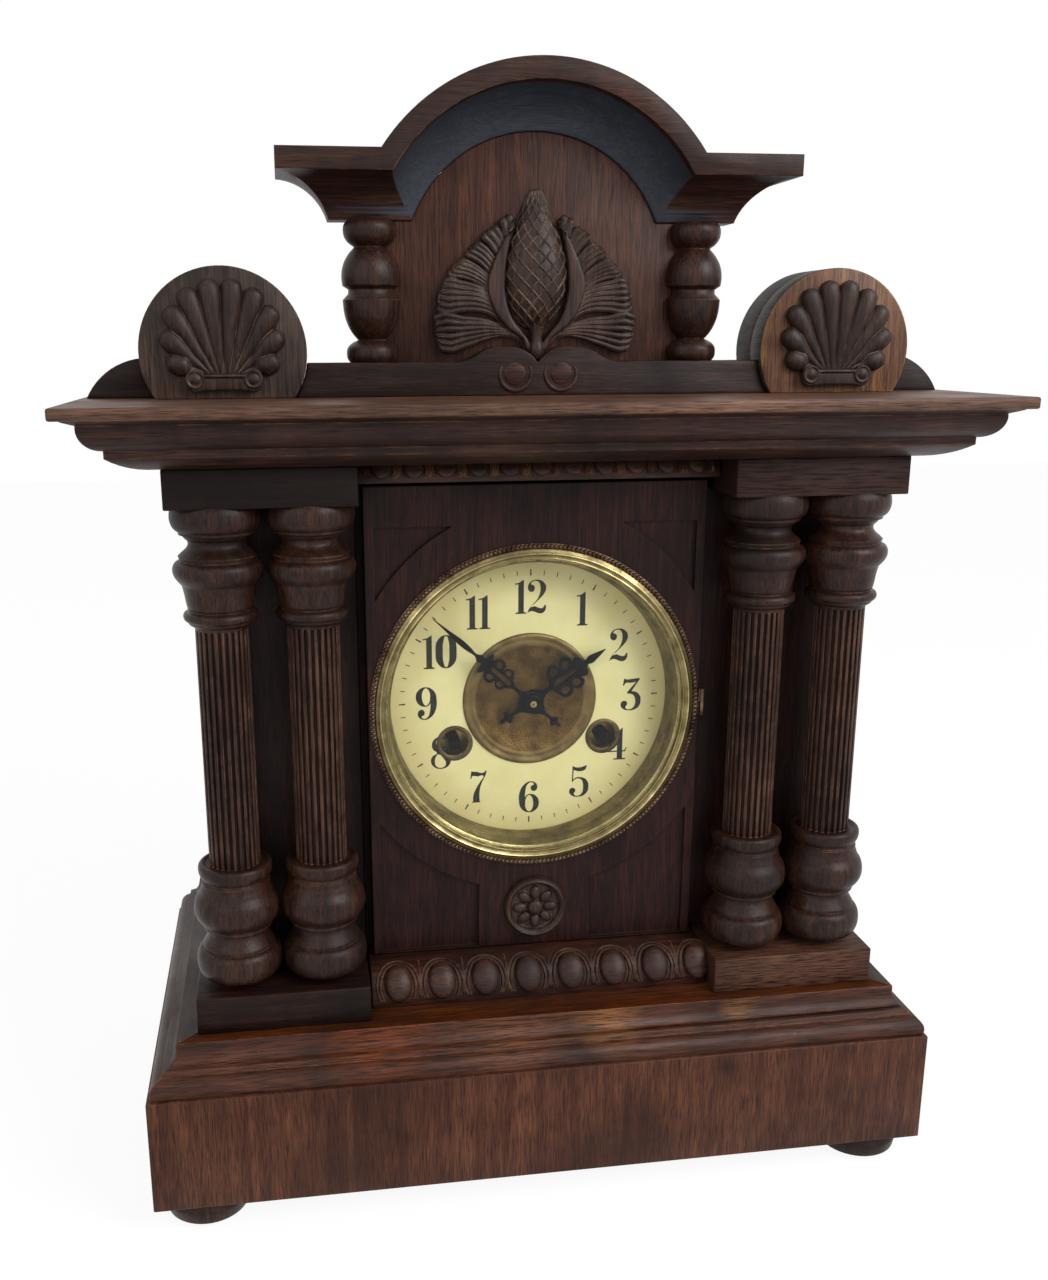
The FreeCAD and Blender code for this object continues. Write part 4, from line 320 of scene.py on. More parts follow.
@contextmanager
def editing(piece):
    """Edit one piece, with the whole of it selected at the start."""
    only(piece)
    bpy.ops.object.mode_set(mode="EDIT")
    bpy.ops.mesh.select_all(action="SELECT")
    yield
    bpy.ops.object.mode_set(mode="OBJECT")


def clean_copy(node, name, whole_faces=True):
    """A merged copy of a solid's mesh, with its flat faces made whole."""
    only(frame["nodes"][node])
    bpy.ops.object.duplicate()
    copy = bpy.context.view_layer.objects.active
    for key in list(copy.keys()):
        del copy[key]
    copy.parent = None
    copy.matrix_world = Matrix.Identity(4)
    copy.name = copy.data.name = name
    with editing(copy):
        bpy.ops.mesh.remove_doubles(threshold=0.002 * MM)
        if whole_faces:
            bpy.ops.mesh.dissolve_limited(angle_limit=math.radians(0.5))
    return copy


SHARP_ANGLE = math.radians(32)


def soften(piece, width_mm):
    """Bevel the sharp edges and smooth the rest."""
    only(piece)
    bevel = piece.modifiers.new("softened edges", "BEVEL")
    bevel.width = width_mm * MM
    bevel.segments = 2
    bevel.limit_method = "ANGLE"
    bevel.angle_limit = SHARP_ANGLE
    bpy.ops.object.modifier_apply(modifier=bevel.name)
    bpy.ops.object.shade_smooth_by_angle(angle=SHARP_ANGLE)


def finish_piece(piece, body, material):
    """Let a piece ride on its body, in one material unless it already has its own."""
    if material:
        piece.data.materials.clear()
        piece.data.materials.append(material)
    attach(piece, body)
    print(piece.name, len(piece.data.polygons), "faces on", body)
    return piece


def dress(node, material, width_mm):
    """A softened copy that stands for a solid. One with no width keeps its crisp edges."""
    piece = clean_copy(node, node + "_wood", whole_faces=width_mm > 0)
    if width_mm:
        soften(piece, width_mm)
    else:
        bpy.ops.object.shade_flat()
    finish_piece(piece, frame["nodes"][node]["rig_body"], material)
    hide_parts(node)
    return piece


def paint_faces(piece, material, chosen):
    """Give another finish to the faces that a test picks by their middle and direction."""
    piece.data.materials.append(material)
    slot = len(piece.data.materials) - 1
    count = 0
    for face in piece.data.polygons:
        middle = face.center / MM
        if chosen(middle.x, middle.y - PLINTH_FRONT, middle.z, face.normal):
            face.material_index = slot
            count += 1
    print(piece.name, count, "faces in", material.name)


print("edges sharper than", round(math.degrees(SHARP_ANGLE)), "degrees get softened")

# %% [markdown]
# Each wooden solid now gets its finish and the width of its softened edges in millimetres. The
# front panel keeps crisp edges, because its sunk corners are sharp cuts of the chisel.

# %% Dress the case
case_woods = [
    ("plinth_front", plinth_veneer, "veneered_wood", 0.6),
    ("plinth_sides", plinth_veneer, "veneered_wood", 0.6),
    ("plinth_back", plain_pine, "plain_wood", 0.6),
    ("base_deck", deck_wood, "veneered_wood", 0.3),
    ("base_rails", rail_wood, "turned_wood", 0.35),
    ("pedestals", block_level, "veneered_wood", 0.6),
    ("imposts", block_level, "turned_wood", 0.6),
    ("cornice_mouldings", beech_level, "turned_wood", 0.35),
    ("cornice_board", board_edge, "turned_wood", 0.9),
    ("carcase_sides", plain_pine, "plain_wood", 0.5),
    ("carcase_top", plain_pine, "plain_wood", 0.5),
    ("front_frame", panel_veneer, "plain_wood", 0.3),
    ("front_panel", panel_veneer, "veneered_wood", 0),
    ("back_door", plain_pine, "plain_wood", 0.7),
    ("turn_button", beech_level, "plain_wood", 0.4),
    ("crest_board", crest_veneer, "veneered_wood", 0.4),
    ("crest_rail", crest_trim, "turned_wood", 0.5),
    ("crest_fins", crest_trim, "veneered_wood", 0.5),
    ("movement_battens", plain_pine, "plain_wood", 0.5),
    ("bun_feet", beech_upright, "turned_wood", 0.3),
    ("roundels", drum_wood, "turned_wood", 0.5),
    ("egg_moulding_lower", egg_alder, "carved_wood", 0.4),
    ("egg_moulding_upper", egg_alder, "carved_wood", 0.4),
]
dressed = {}
for node, material, slot, width in case_woods:
    dressed[node] = dress(node, material, width)
hood = dress("crest_hood", beech_level, 0.4)

# %% [markdown]
# Some pieces carry two finishes. The hood's hollow was ebonised under a brown board, the side
# returns of the mouldings have their grain running back, and the flat top of the base moulding
# is worn like the deck. The right drum has lost most of the stain from its face. Faces are
# picked by where they are and which way they look.

# %% Second finishes
HOOD_ARCH_CENTRE = 393.4
HOOD_ARCH_RADIUS = 77.1
HOOD_BOARD = 8.0
MITRE = 172
DECK_TOP = 83.3
HOOD_FRONT = min((hood.matrix_world @ Vector(corner)).y for corner in hood.bound_box) / MM \
    - PLINTH_FRONT


def in_hollow(across, depth, up, normal):
    """True in the hollow under the hood's arch."""
    radius = math.hypot(across, up - HOOD_ARCH_CENTRE)
    on_front_edge = normal.y < -0.97 and depth < HOOD_FRONT + 1
    inside = radius < HOOD_ARCH_RADIUS - HOOD_BOARD - 0.4 and normal.y < 0.9
    return inside and not on_front_edge


def on_side_run(across, depth, up, normal):
    """True behind the mitre, where a moulding runs back along the case's side."""
    return abs(across) + depth > MITRE


def on_deck_top(across, depth, up, normal):
    """True on the flat top of the front rail, which shows as the deck."""
    return normal.z > 0.9 and up > DECK_TOP and not on_side_run(across, depth, up, normal)


paint_faces(hood, black_cove, in_hollow)
paint_faces(dressed["base_rails"], beech_deep, on_side_run)
paint_faces(dressed["base_rails"], deck_wood, on_deck_top)
paint_faces(dressed["cornice_mouldings"], beech_deep, on_side_run)
paint_faces(dressed["roundels"], bare_beech,
            lambda across, depth, up, normal: across > 0 and normal.y < -0.6)
paint_faces(dressed["roundels"], dusty_drum,
            lambda across, depth, up, normal: across > 0 and normal.y >= -0.6)

# %% [markdown]
# ## Three ways to make a new shape
# A turned piece is a line of points spun round an axis, as on a lathe. A fretted piece is a
# flat plate sawn to a curved outline. A carved ridge follows a line, and swells and narrows on
# the way. All three are drawn in millimetres as seen from the front, with the third number
# rising towards the viewer, and then set in their place. Outlines are written as text, such
# as "0,0! 3.2,1", and a mark ! makes a point a sharp corner.

# %% Points, and setting a shape in its place
FACING_FRONT = (math.pi / 2, 0, 0)
WHOLE_TURN = 2 * math.pi


def points(text):
    """A list of points from their numbers, each with its corner mark if it has one."""
    return [(*map(float, word.rstrip("!").split(",")), *(["corner"] if "!" in word else []))
            for word in text.split()]


def faces_outward(piece):
    """Close the seams of a shape drawn in millimetres and turn its faces outwards."""
    with editing(piece):
        bpy.ops.mesh.remove_doubles(threshold=0.01)
        bpy.ops.mesh.normals_make_consistent(inside=False)


def set_in(piece, spot, turn=FACING_FRONT, shape=(1, 1, 1), smooth=35):
    """Stand a shape drawn in millimetres in its place, and put the place into its mesh."""
    only(piece)
    piece.scale = Vector(shape) * MM
    piece.rotation_euler = turn
    piece.location = spot
    bpy.ops.object.transform_apply(location=True, rotation=True, scale=True)
    bpy.ops.object.shade_smooth_by_angle(angle=math.radians(smooth))
    return piece


print("two points, the first a corner:", points("0,0! 3.2,1"))

# %% [markdown]
# On the lathe, a tool's line becomes a round. Here a single point is moved along the line,
# leaving an edge behind it, and the line is then spun round the upright axis.

# %% Turning
def turned(name, profile, steps=96, closed=False):
    """Spin a line of (radius, height) points round the upright axis."""
    bpy.ops.object.select_all(action="DESELECT")
    bpy.ops.mesh.primitive_plane_add(size=1, location=(0, 0, 0))
    piece = bpy.context.view_layer.objects.active
    piece.name = piece.data.name = name
    with editing(piece):
        bpy.ops.mesh.merge(type="CENTER")
        here = Vector((profile[0][0], 0, profile[0][1]))
        bpy.ops.transform.translate(value=here)
        for radius, height in (*profile[1:], *(profile[:1] if closed else ())):
            there = Vector((radius, 0, height))
            bpy.ops.mesh.extrude_region_move(TRANSFORM_OT_translate={"value": there - here})
            here = there
        bpy.ops.mesh.select_all(action="SELECT")
        bpy.ops.mesh.spin(steps=steps, angle=WHOLE_TURN, center=(0, 0, 0), axis=(0, 0, 1))
    faces_outward(piece)
    return piece


# %% [markdown]
# A curve can be smooth where a mesh line would need many points. So a lathe profile with soft
# swells is drawn as a curve before it is spun. A plate is a flat curve that is filled, given a
# thickness and a rounded edge, and inner outlines stay open as piercings.

# %% Drawing, smooth turning and sawing
def new_drawing(name, dimensions="3D"):
    """An empty curve to draw on."""
    bpy.ops.object.select_all(action="DESELECT")
    bpy.ops.curve.primitive_bezier_curve_add(location=(0, 0, 0))
    drawing = bpy.context.view_layer.objects.active
    drawing.name = drawing.data.name = name
    drawing.data.dimensions = dimensions
    drawing.data.splines.clear()
    return drawing


def as_mesh(drawing):
    """Turn a drawing into a mesh."""
    only(drawing)
    bpy.ops.object.convert(target="MESH")
    return bpy.context.view_layer.objects.active


def made_solid(drawing):
    """Turn a drawing into a mesh with its faces outwards."""
    piece = as_mesh(drawing)
    faces_outward(piece)
    return piece


def follow(drawing, line, closed):
    """Add a smooth line to a drawing; a third value marks a point as a sharp corner."""
    spline = drawing.data.splines.new("BEZIER")
    spline.bezier_points.add(len(line) - 1)
    spline.use_cyclic_u = closed
    for point, (across, up, *corner) in zip(spline.bezier_points, line):
        point.co = (across, up, 0)
        point.handle_left_type = point.handle_right_type = "VECTOR" if corner else "AUTO"


def lathe(name, profile, steps=64, smoothness=5):
    """Spin a smooth profile of (radius, height) points round the upright middle line."""
    drawing = new_drawing(name)
    drawing.data.resolution_u = smoothness
    follow(drawing, profile, False)
    piece = as_mesh(drawing)
    with editing(piece):
        bpy.ops.mesh.spin(steps=steps, angle=WHOLE_TURN, center=(0, 0, 0), axis=(0, 1, 0))
    faces_outward(piece)
    return piece


def sawn(name, outlines, thick, rounding=0.0, steps=6):
    """A plate cut to curved outlines; a third value marks a point as a sharp corner."""
    drawing = new_drawing(name, "2D")
    drawing.data.fill_mode = "BOTH"
    drawing.data.extrude = thick / 2 - rounding
    drawing.data.bevel_depth = rounding
    drawing.data.offset = -rounding
    drawing.data.bevel_resolution = 2
    drawing.data.resolution_u = steps
    for outline in outlines:
        follow(drawing, outline, True)
    return made_solid(drawing)


# %% [markdown]
# A carver's gouge leaves rounded ridges. Each is a curve with a round section and its own
# radius at every point, so it can start thin, swell and die away.

# %% Carving, and putting parts together
def ridges(name, lines, rounds, steps):
    """Rounded ridges along lines of (across, up, out, half-width) points."""
    drawing = new_drawing(name)
    drawing.data.bevel_depth = 1.0
    drawing.data.bevel_resolution = rounds
    drawing.data.resolution_u = steps
    drawing.data.use_fill_caps = True
    for line in lines:
        spline = drawing.data.splines.new("BEZIER")
        spline.bezier_points.add(len(line) - 1)
        for point, (across, up, out, half_width) in zip(spline.bezier_points, line):
            point.co = (across, up, out)
            point.radius = half_width
            point.handle_left_type = point.handle_right_type = "AUTO"
    return made_solid(drawing)


def ball(segments, rings, spot=(0, 0, 0)):
    """A ball of radius 1, to be drawn out into an egg, a petal or a bead."""
    bpy.ops.object.select_all(action="DESELECT")
    bpy.ops.mesh.primitive_uv_sphere_add(segments=segments, ring_count=rings, radius=1,
                                         location=spot)
    return bpy.context.view_layer.objects.active


def joined(name, pieces):
    """One object from several."""
    bpy.ops.object.select_all(action="DESELECT")
    for piece in pieces:
        piece.select_set(True)
    bpy.context.view_layer.objects.active = pieces[0]
    bpy.ops.object.join()
    whole = bpy.context.view_layer.objects.active
    whole.name = whole.data.name = name
    return whole


def mirrored(outline):
    """A half outline, with its mirror image added to close it."""
    return outline + [(-point[0], *point[1:]) for point in reversed(outline) if point[0]]


def ring_of(piece, spot, stretch, count):
    """Stretch a ball about its spot, and copy it right round the upright axis."""
    with editing(piece):
        bpy.ops.transform.resize(value=stretch, center_override=spot)
        bpy.ops.mesh.spin(steps=count - 1, dupli=True, center=(0, 0, 0), axis=(0, 0, 1),
                          angle=WHOLE_TURN * (count - 1) / count)


print("half an outline becomes", mirrored(points("0,0 2,1 0,2")))

# %% [markdown]
# ## Columns
# Each column is turned from one billet: a base with a torus, a hollow and a bulb, a slender
# fluted shaft, and a cap with a bell and a second torus. The turned parts are smooth profiles.
# The shaft is a flat star of round hollows with narrow lands between, drawn out to its length.
# A century of dusting rubbed the lands and left grime in the flutes, so each has its own tone.
# One column is made, and the other three are copies that are moved sideways.

# %% Column profiles
COLUMN_DEPTH = 36.9
COLUMN_FOOT = 103.0
COLUMN_PLACES = {"left_outer": -131.6, "left_inner": -95.0, "right_inner": 95.0,
                 "right_outer": 131.6}
SHAFT_FOOT = 51.0
CAP_FOOT = 152.7
HIDDEN_END = 1.0
base_profile = points("""0,0! 14.2,0! 16.4,1.6 17.9,5 18.15,8.2 17.6,11.4 16.4,13.2 15,13.9!
    15.3,14.5! 15.2,15.2! 14.5,16.4 13.3,18.6 12.6,20.4 12.6,21.2! 13.9,21.8! 14.5,22.6
    14.4,23.6! 14.9,24.4 16.8,26.6 18,29.4 18.15,32.4 17.4,35.8 15.7,38.6 15,40.6! 14.6,41.4!
    14.5,43.6! 13.8,44.2! 13.8,45! 14.6,45.6! 15.4,47.4 15.6,49.4 15.2,51 14.2,51.7 12.4,51.3!
    0,51.3!""")
cap_profile = points("""0,0! 10.7,0! 11,1.2! 12.3,1.8 13.2,2.7 13.4,3.3! 14.3,3.8 15,5.2
    14.6,6.8 13.8,7.4! 12.7,7.7! 12.7,8.3! 13.1,8.6! 13.6,11 14.2,15 14.9,18.2! 16.3,19.8
    17.7,22 18.15,24.3 17.6,26.4 16.4,27.6 15.2,28! 15.3,29! 15.7,29.8! 14.2,31.2 12.4,32.8
    11.5,34.6 11.8,36! 13.1,37.2 13.5,37.9! 15,38.5! 15.2,39.5! 16.8,40.8 18,43.4 18.15,46.2
    17.6,48.9 16.5,50.9 15.6,52.4! 0,52.4!""")
FLUTES = 24
SHAFT_RADIUS = 10.7
FLUTE_FLOOR = 9.35
pitch = WHOLE_TURN / FLUTES
fluting = []
for flute in range(FLUTES):
    for share, radius, *corner in ((0.0, SHAFT_RADIUS, "corner"), (0.42, SHAFT_RADIUS, "corner"),
                                   (0.71, FLUTE_FLOOR)):
        angle = pitch * (flute + share)
        fluting.append((radius * math.cos(angle), radius * math.sin(angle), *corner))
print(FLUTES, "flutes, cut", round(SHAFT_RADIUS - FLUTE_FLOOR, 2), "mm deep")

# %% [markdown]
# The shaft is sawn from the star of flutes, and its ends run a little way into the turned
# parts. The three are joined, and every column is a copy that is moved sideways.

# %% Columns
SHAFT_LENGTH = CAP_FOOT + HIDDEN_END - SHAFT_FOOT
shaft = sawn("shaft", [fluting], SHAFT_LENGTH, steps=4)
set_in(shaft, place(0, COLUMN_DEPTH, COLUMN_FOOT + SHAFT_FOOT + SHAFT_LENGTH / 2),
       (0, 0, 0), smooth=25)
shaft.data.materials.append(shaft_land)
paint_faces(shaft, shaft_flute, lambda across, depth, up, normal:
            math.hypot(across, depth - COLUMN_DEPTH) < SHAFT_RADIUS - 0.25)
turned_ends = []
for name, profile, foot in (("base", base_profile, 0.0), ("cap", cap_profile, CAP_FOOT)):
    end = set_in(lathe(name, profile, 72, 4), place(0, COLUMN_DEPTH, COLUMN_FOOT + foot),
                 smooth=42)
    end.data.materials.append(beech_upright)
    turned_ends.append(end)
column = joined("column", [shaft, *turned_ends])
for name, across in COLUMN_PLACES.items():
    only(column)
    bpy.ops.object.duplicate()
    copy = bpy.context.view_layer.objects.active
    copy.name = copy.data.name = "column_" + name + "_turned"
    bpy.ops.transform.translate(value=(across * MM, 0, 0))
    bpy.ops.object.transform_apply(location=True, rotation=False, scale=False)
    finish_piece(copy, "case", None)
    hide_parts("column_" + name)
only(column)
bpy.ops.object.delete()

# %% [markdown]
# ## Balusters
# The crest board stands between two turned balusters: a foot, a vase, a ball and a cap, with a
# crisp groove under the ball. Each is turned whole, and the board's corner hides a quarter.

# %% Balusters
BALUSTER_ACROSS = 66.8
BALUSTER_FOOT = 13.5
baluster_profile = points("""0,0! 9,0! 10,1.4 10.3,3.6 9.8,5.8 7.9,7.6 5.6,8.7! 8,11.6 10,15.6
    11,19.6 11.4,24.2! 9.2,26.5! 9.1,28.2! 11.4,29.7! 11.7,33 11,37.4 9.2,41 6.4,44.3!
    9.4,46.8 10.6,50.2 10,53.2 8.6,54.5! 0,54.5!""")
turned_balusters = []
for side in (-1, 1):
    whole = lathe("baluster", baluster_profile)
    turned_balusters.append(set_in(whole, place(side * BALUSTER_ACROSS, CREST_FACE,
                                                CREST_FLOOR + BALUSTER_FOOT), smooth=42))
balusters = finish_piece(joined("crest_balusters", turned_balusters), "case", beech_upright)
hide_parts("balusters")

# %% [markdown]
# ## Metals
# The bezel is spun brass. Its polish has gone: lacquer and dust leave it olive, and only the
# raised lines still shine. The plates and wheels of the movement are brighter, and the arbors
# and springs are bare steel. Each metal has its dust and tarnish as a soft noise that raises
# the roughness and darkens the colour.

# %% Metal shader
TARNISH_PATCH = 9.0
ROUGHNESS_SPREAD = 0.18
# Stamped matting is finer than this. It is drawn at nearly a millimetre, to show.
MATTED_GRAIN = 0.9
MATTED_DEPTH = 0.35


def old_metal(name, bright, tarnished, rough, matted=False):
    """A metal with patches of tarnish, and a stamped grain where it is matted."""
    material, tree = new_material(name)
    coords = add(tree, "TexCoord").outputs["Object"]
    patches = add(tree, "TexNoise", {"Vector": coords, "Scale": 1 / (TARNISH_PATCH * MM),
                                     "Detail": 6.0, "Roughness": 0.65})
    mask = add(tree, "MapRange", {"Value": patches, "From Min": 0.35, "From Max": 0.65})
    colour = add(tree, "Mix", {"Factor": mask, "A": linear(bright), "B": linear(tarnished)},
                 data_type="RGBA")
    dull = add(tree, "MapRange", {"Value": patches, "From Min": 0.3, "From Max": 0.7,
                                  "To Min": rough - ROUGHNESS_SPREAD / 2,
                                  "To Max": rough + ROUGHNESS_SPREAD})
    shader = add(tree, "BsdfPrincipled", {"Base Color": colour, "Metallic": 1.0,
                                          "Roughness": dull})
    if matted:
        grain = add(tree, "TexVoronoi", {"Vector": coords, "Scale": 1 / (MATTED_GRAIN * MM)})
        bump = add(tree, "Bump", {"Height": grain, "Strength": 0.8,
                                  "Distance": MATTED_DEPTH * MM})
        tree.links.new(bump.outputs["Normal"], shader.inputs["Normal"])
    add(tree, "OutputMaterial", {"Surface": shader})
    return material


print("tarnish in patches of", TARNISH_PATCH, "mm")

# %% [markdown]
# Each metal has its bright tone, its tarnished tone and its roughness. The solids that stay in
# sight, such as the plates and wheels, take their metal as they are.

# %% Metal finishes
# Old lacquer turns the broad hollows of the bezel a dull olive.
olive_brass = old_metal("Spun brass, lacquer gone olive", "#94865E", "#5E5438", 0.36)
# Dusting keeps the raised lines bright, and they draw thin rings round the glass.
bright_brass = old_metal("Brass, raised line rubbed bright", "#CDBB84", "#94835A", 0.27)
# Grime between the beads browns the rope, so the rim reads as a dark brown edge.
bronze_rim = old_metal("Milled brass rim, browned", "#7A6250", "#3A2B22", 0.4)
# The matting scatters the light, so the field is a flat ochre brown.
matted_bronze = old_metal("Stamped brass disc, matted and browned", "#6E5530", "#443018", 0.5,
                          matted=True)
# The smooth rim of the same disc catches a line of light round the field.
disc_rim = old_metal("Stamped brass disc, raised rim", "#86704A", "#58452C", 0.4)
# The grommets are worn by the key, and are a little darker and duller than the disc.
grommet_bronze = old_metal("Pressed brass grommet, browned", "#6A5840", "#3E3224", 0.42)
# Hinges at the back were never cleaned, and are dark yellow-brown.
hinge_brass = old_metal("Rolled brass hinge, tarnished", "#7E6A3E", "#40331E", 0.42)
# Inside the case the plates keep a warm yellow under clear lacquer.
plate_brass = old_metal("Rolled brass plate, lacquered", "#C2A660", "#94793E", 0.32)
# The wheels are a shade brighter, from the file and from the oil.
wheel_brass = old_metal("Cut brass wheel", "#CDB06A", "#9C8048", 0.3)
# Steel is the one cool grey among the yellow metals.
bare_steel = old_metal("Turned steel arbor", "#8C8C8A", "#5C5A56", 0.34)
# The gong is nearly black-brown and hardly shines.
black_iron = old_metal("Coiled iron gong, browned", "#3E3834", "#241E1A", 0.5)


def coat(material, *nodes):
    """Give solids that stay in sight a better finish."""
    for node in nodes:
        for slot in frame["nodes"][node].material_slots:
            slot.material = material
    print(material.name, "on", *nodes)


coat(plate_brass, "movement_front_plate", "movement_back_plate")
coat(wheel_brass, "time_barrel", "strike_barrel", "third_wheel", "escape_wheel",
     "minute_wheel", "hour_wheel", "centre_arbor", "pendulum")
coat(bare_steel, "movement_pillars", "movement_straps", "anchor", "hammer")
coat(hinge_brass, "door_hinges_fixed", "door_hinges_moving")
coat(bronze_rim, "bezel_hinge_leaf")
coat(black_iron, "gong")

# %% [markdown]
# ## The dial
# The dial is paper on zinc, gone cream under its varnish, darker and more ochre towards the
# edge where damp came in. One noise gives the blotches, and the distance from the dial's middle
# gives the dark edge.

# %% Dial paper and ink
EDGE_TONE_FROM = 44
EDGE_TONE_TO = 66
DAMP_BLOTCH = 26
# Real fibres are much finer. They are drawn this coarse, to show as a faint unevenness.
PAPER_FIBRE = 0.9
THIN_INK_SPOT = 2.2

# A warm cream with ochre blotches, under a varnish with a soft gleam.
paper, tree = new_material("Varnished dial paper, aged cream")
coords = add(tree, "TexCoord").outputs["Object"]
from_middle = add(tree, "VectorMath", {0: coords, 1: dial_place(0, 0)}, operation="DISTANCE")
ageing = add(tree, "TexNoise", {"Vector": coords, "Scale": 1 / (DAMP_BLOTCH * MM),
                                "Detail": 5.0, "Roughness": 0.6})
fibres = add(tree, "TexNoise", {"Vector": coords, "Scale": 1 / (PAPER_FIBRE * MM),
                                "Detail": 3.0})
rim_share = add(tree, "MapRange", {"Value": from_middle, "From Min": EDGE_TONE_FROM * MM,
                                   "From Max": EDGE_TONE_TO * MM})
age_share = add(tree, "MapRange", {"Value": ageing, "From Min": 0.38, "From Max": 0.66,
                                   "To Max": 0.75})
cream = add(tree, "Mix", {"Factor": age_share, "A": linear("#F2E6B4"),
                          "B": linear("#E4D296")}, data_type="RGBA")
edged = add(tree, "Math", {0: rim_share, 1: 0.45}, operation="MULTIPLY")
ochre = add(tree, "Mix", {"Factor": edged, "A": cream, "B": linear("#B89C62")},
            data_type="RGBA")
grain = add(tree, "Bump", {"Height": fibres, "Strength": 0.15, "Distance": 0.05 * MM})
varnished = add(tree, "BsdfPrincipled",
                {"Base Color": ochre, "Roughness": 0.38, "IOR": 1.5,
                 "Specular IOR Level": 0.35, "Normal": grain})
add(tree, "OutputMaterial", {"Surface": varnished})
coat(paper, "dial_plate")

# A soft black that thins to dark olive in small spots, so the print doesn't look new.
ink, tree = new_material("Printed black ink, slightly worn")
coords = add(tree, "TexCoord").outputs["Object"]
thin_ink = add(tree, "TexNoise", {"Vector": coords, "Scale": 1 / (THIN_INK_SPOT * MM),
                                  "Detail": 6.0, "Roughness": 0.7})
thin_share = add(tree, "MapRange", {"Value": thin_ink, "From Min": 0.5, "From Max": 0.8,
                                    "To Max": 0.5})
black = add(tree, "Mix", {"Factor": thin_share, "A": linear("#0E100E"),
                          "B": linear("#3A3A30")}, data_type="RGBA")
printed = add(tree, "BsdfPrincipled", {"Base Color": black, "Roughness": 0.45, "IOR": 1.5,
                                       "Specular IOR Level": 0.3})
add(tree, "OutputMaterial", {"Surface": printed})

# %% [markdown]
# The numerals are fat-faced: thick upright strokes, hairline joins and round ball ends. Each
# digit is drawn as an outline on a grid one unit high, with its own width. The printed ink is
# modelled as a skin a few hundredths of a millimetre proud. A nine is a six turned over.

# %% Fat-faced digits
NUMERAL_HEIGHT = 15.0
NUMERAL_CIRCLE = 46.4
DIGIT_GAP = 0.03
INK = 0.06

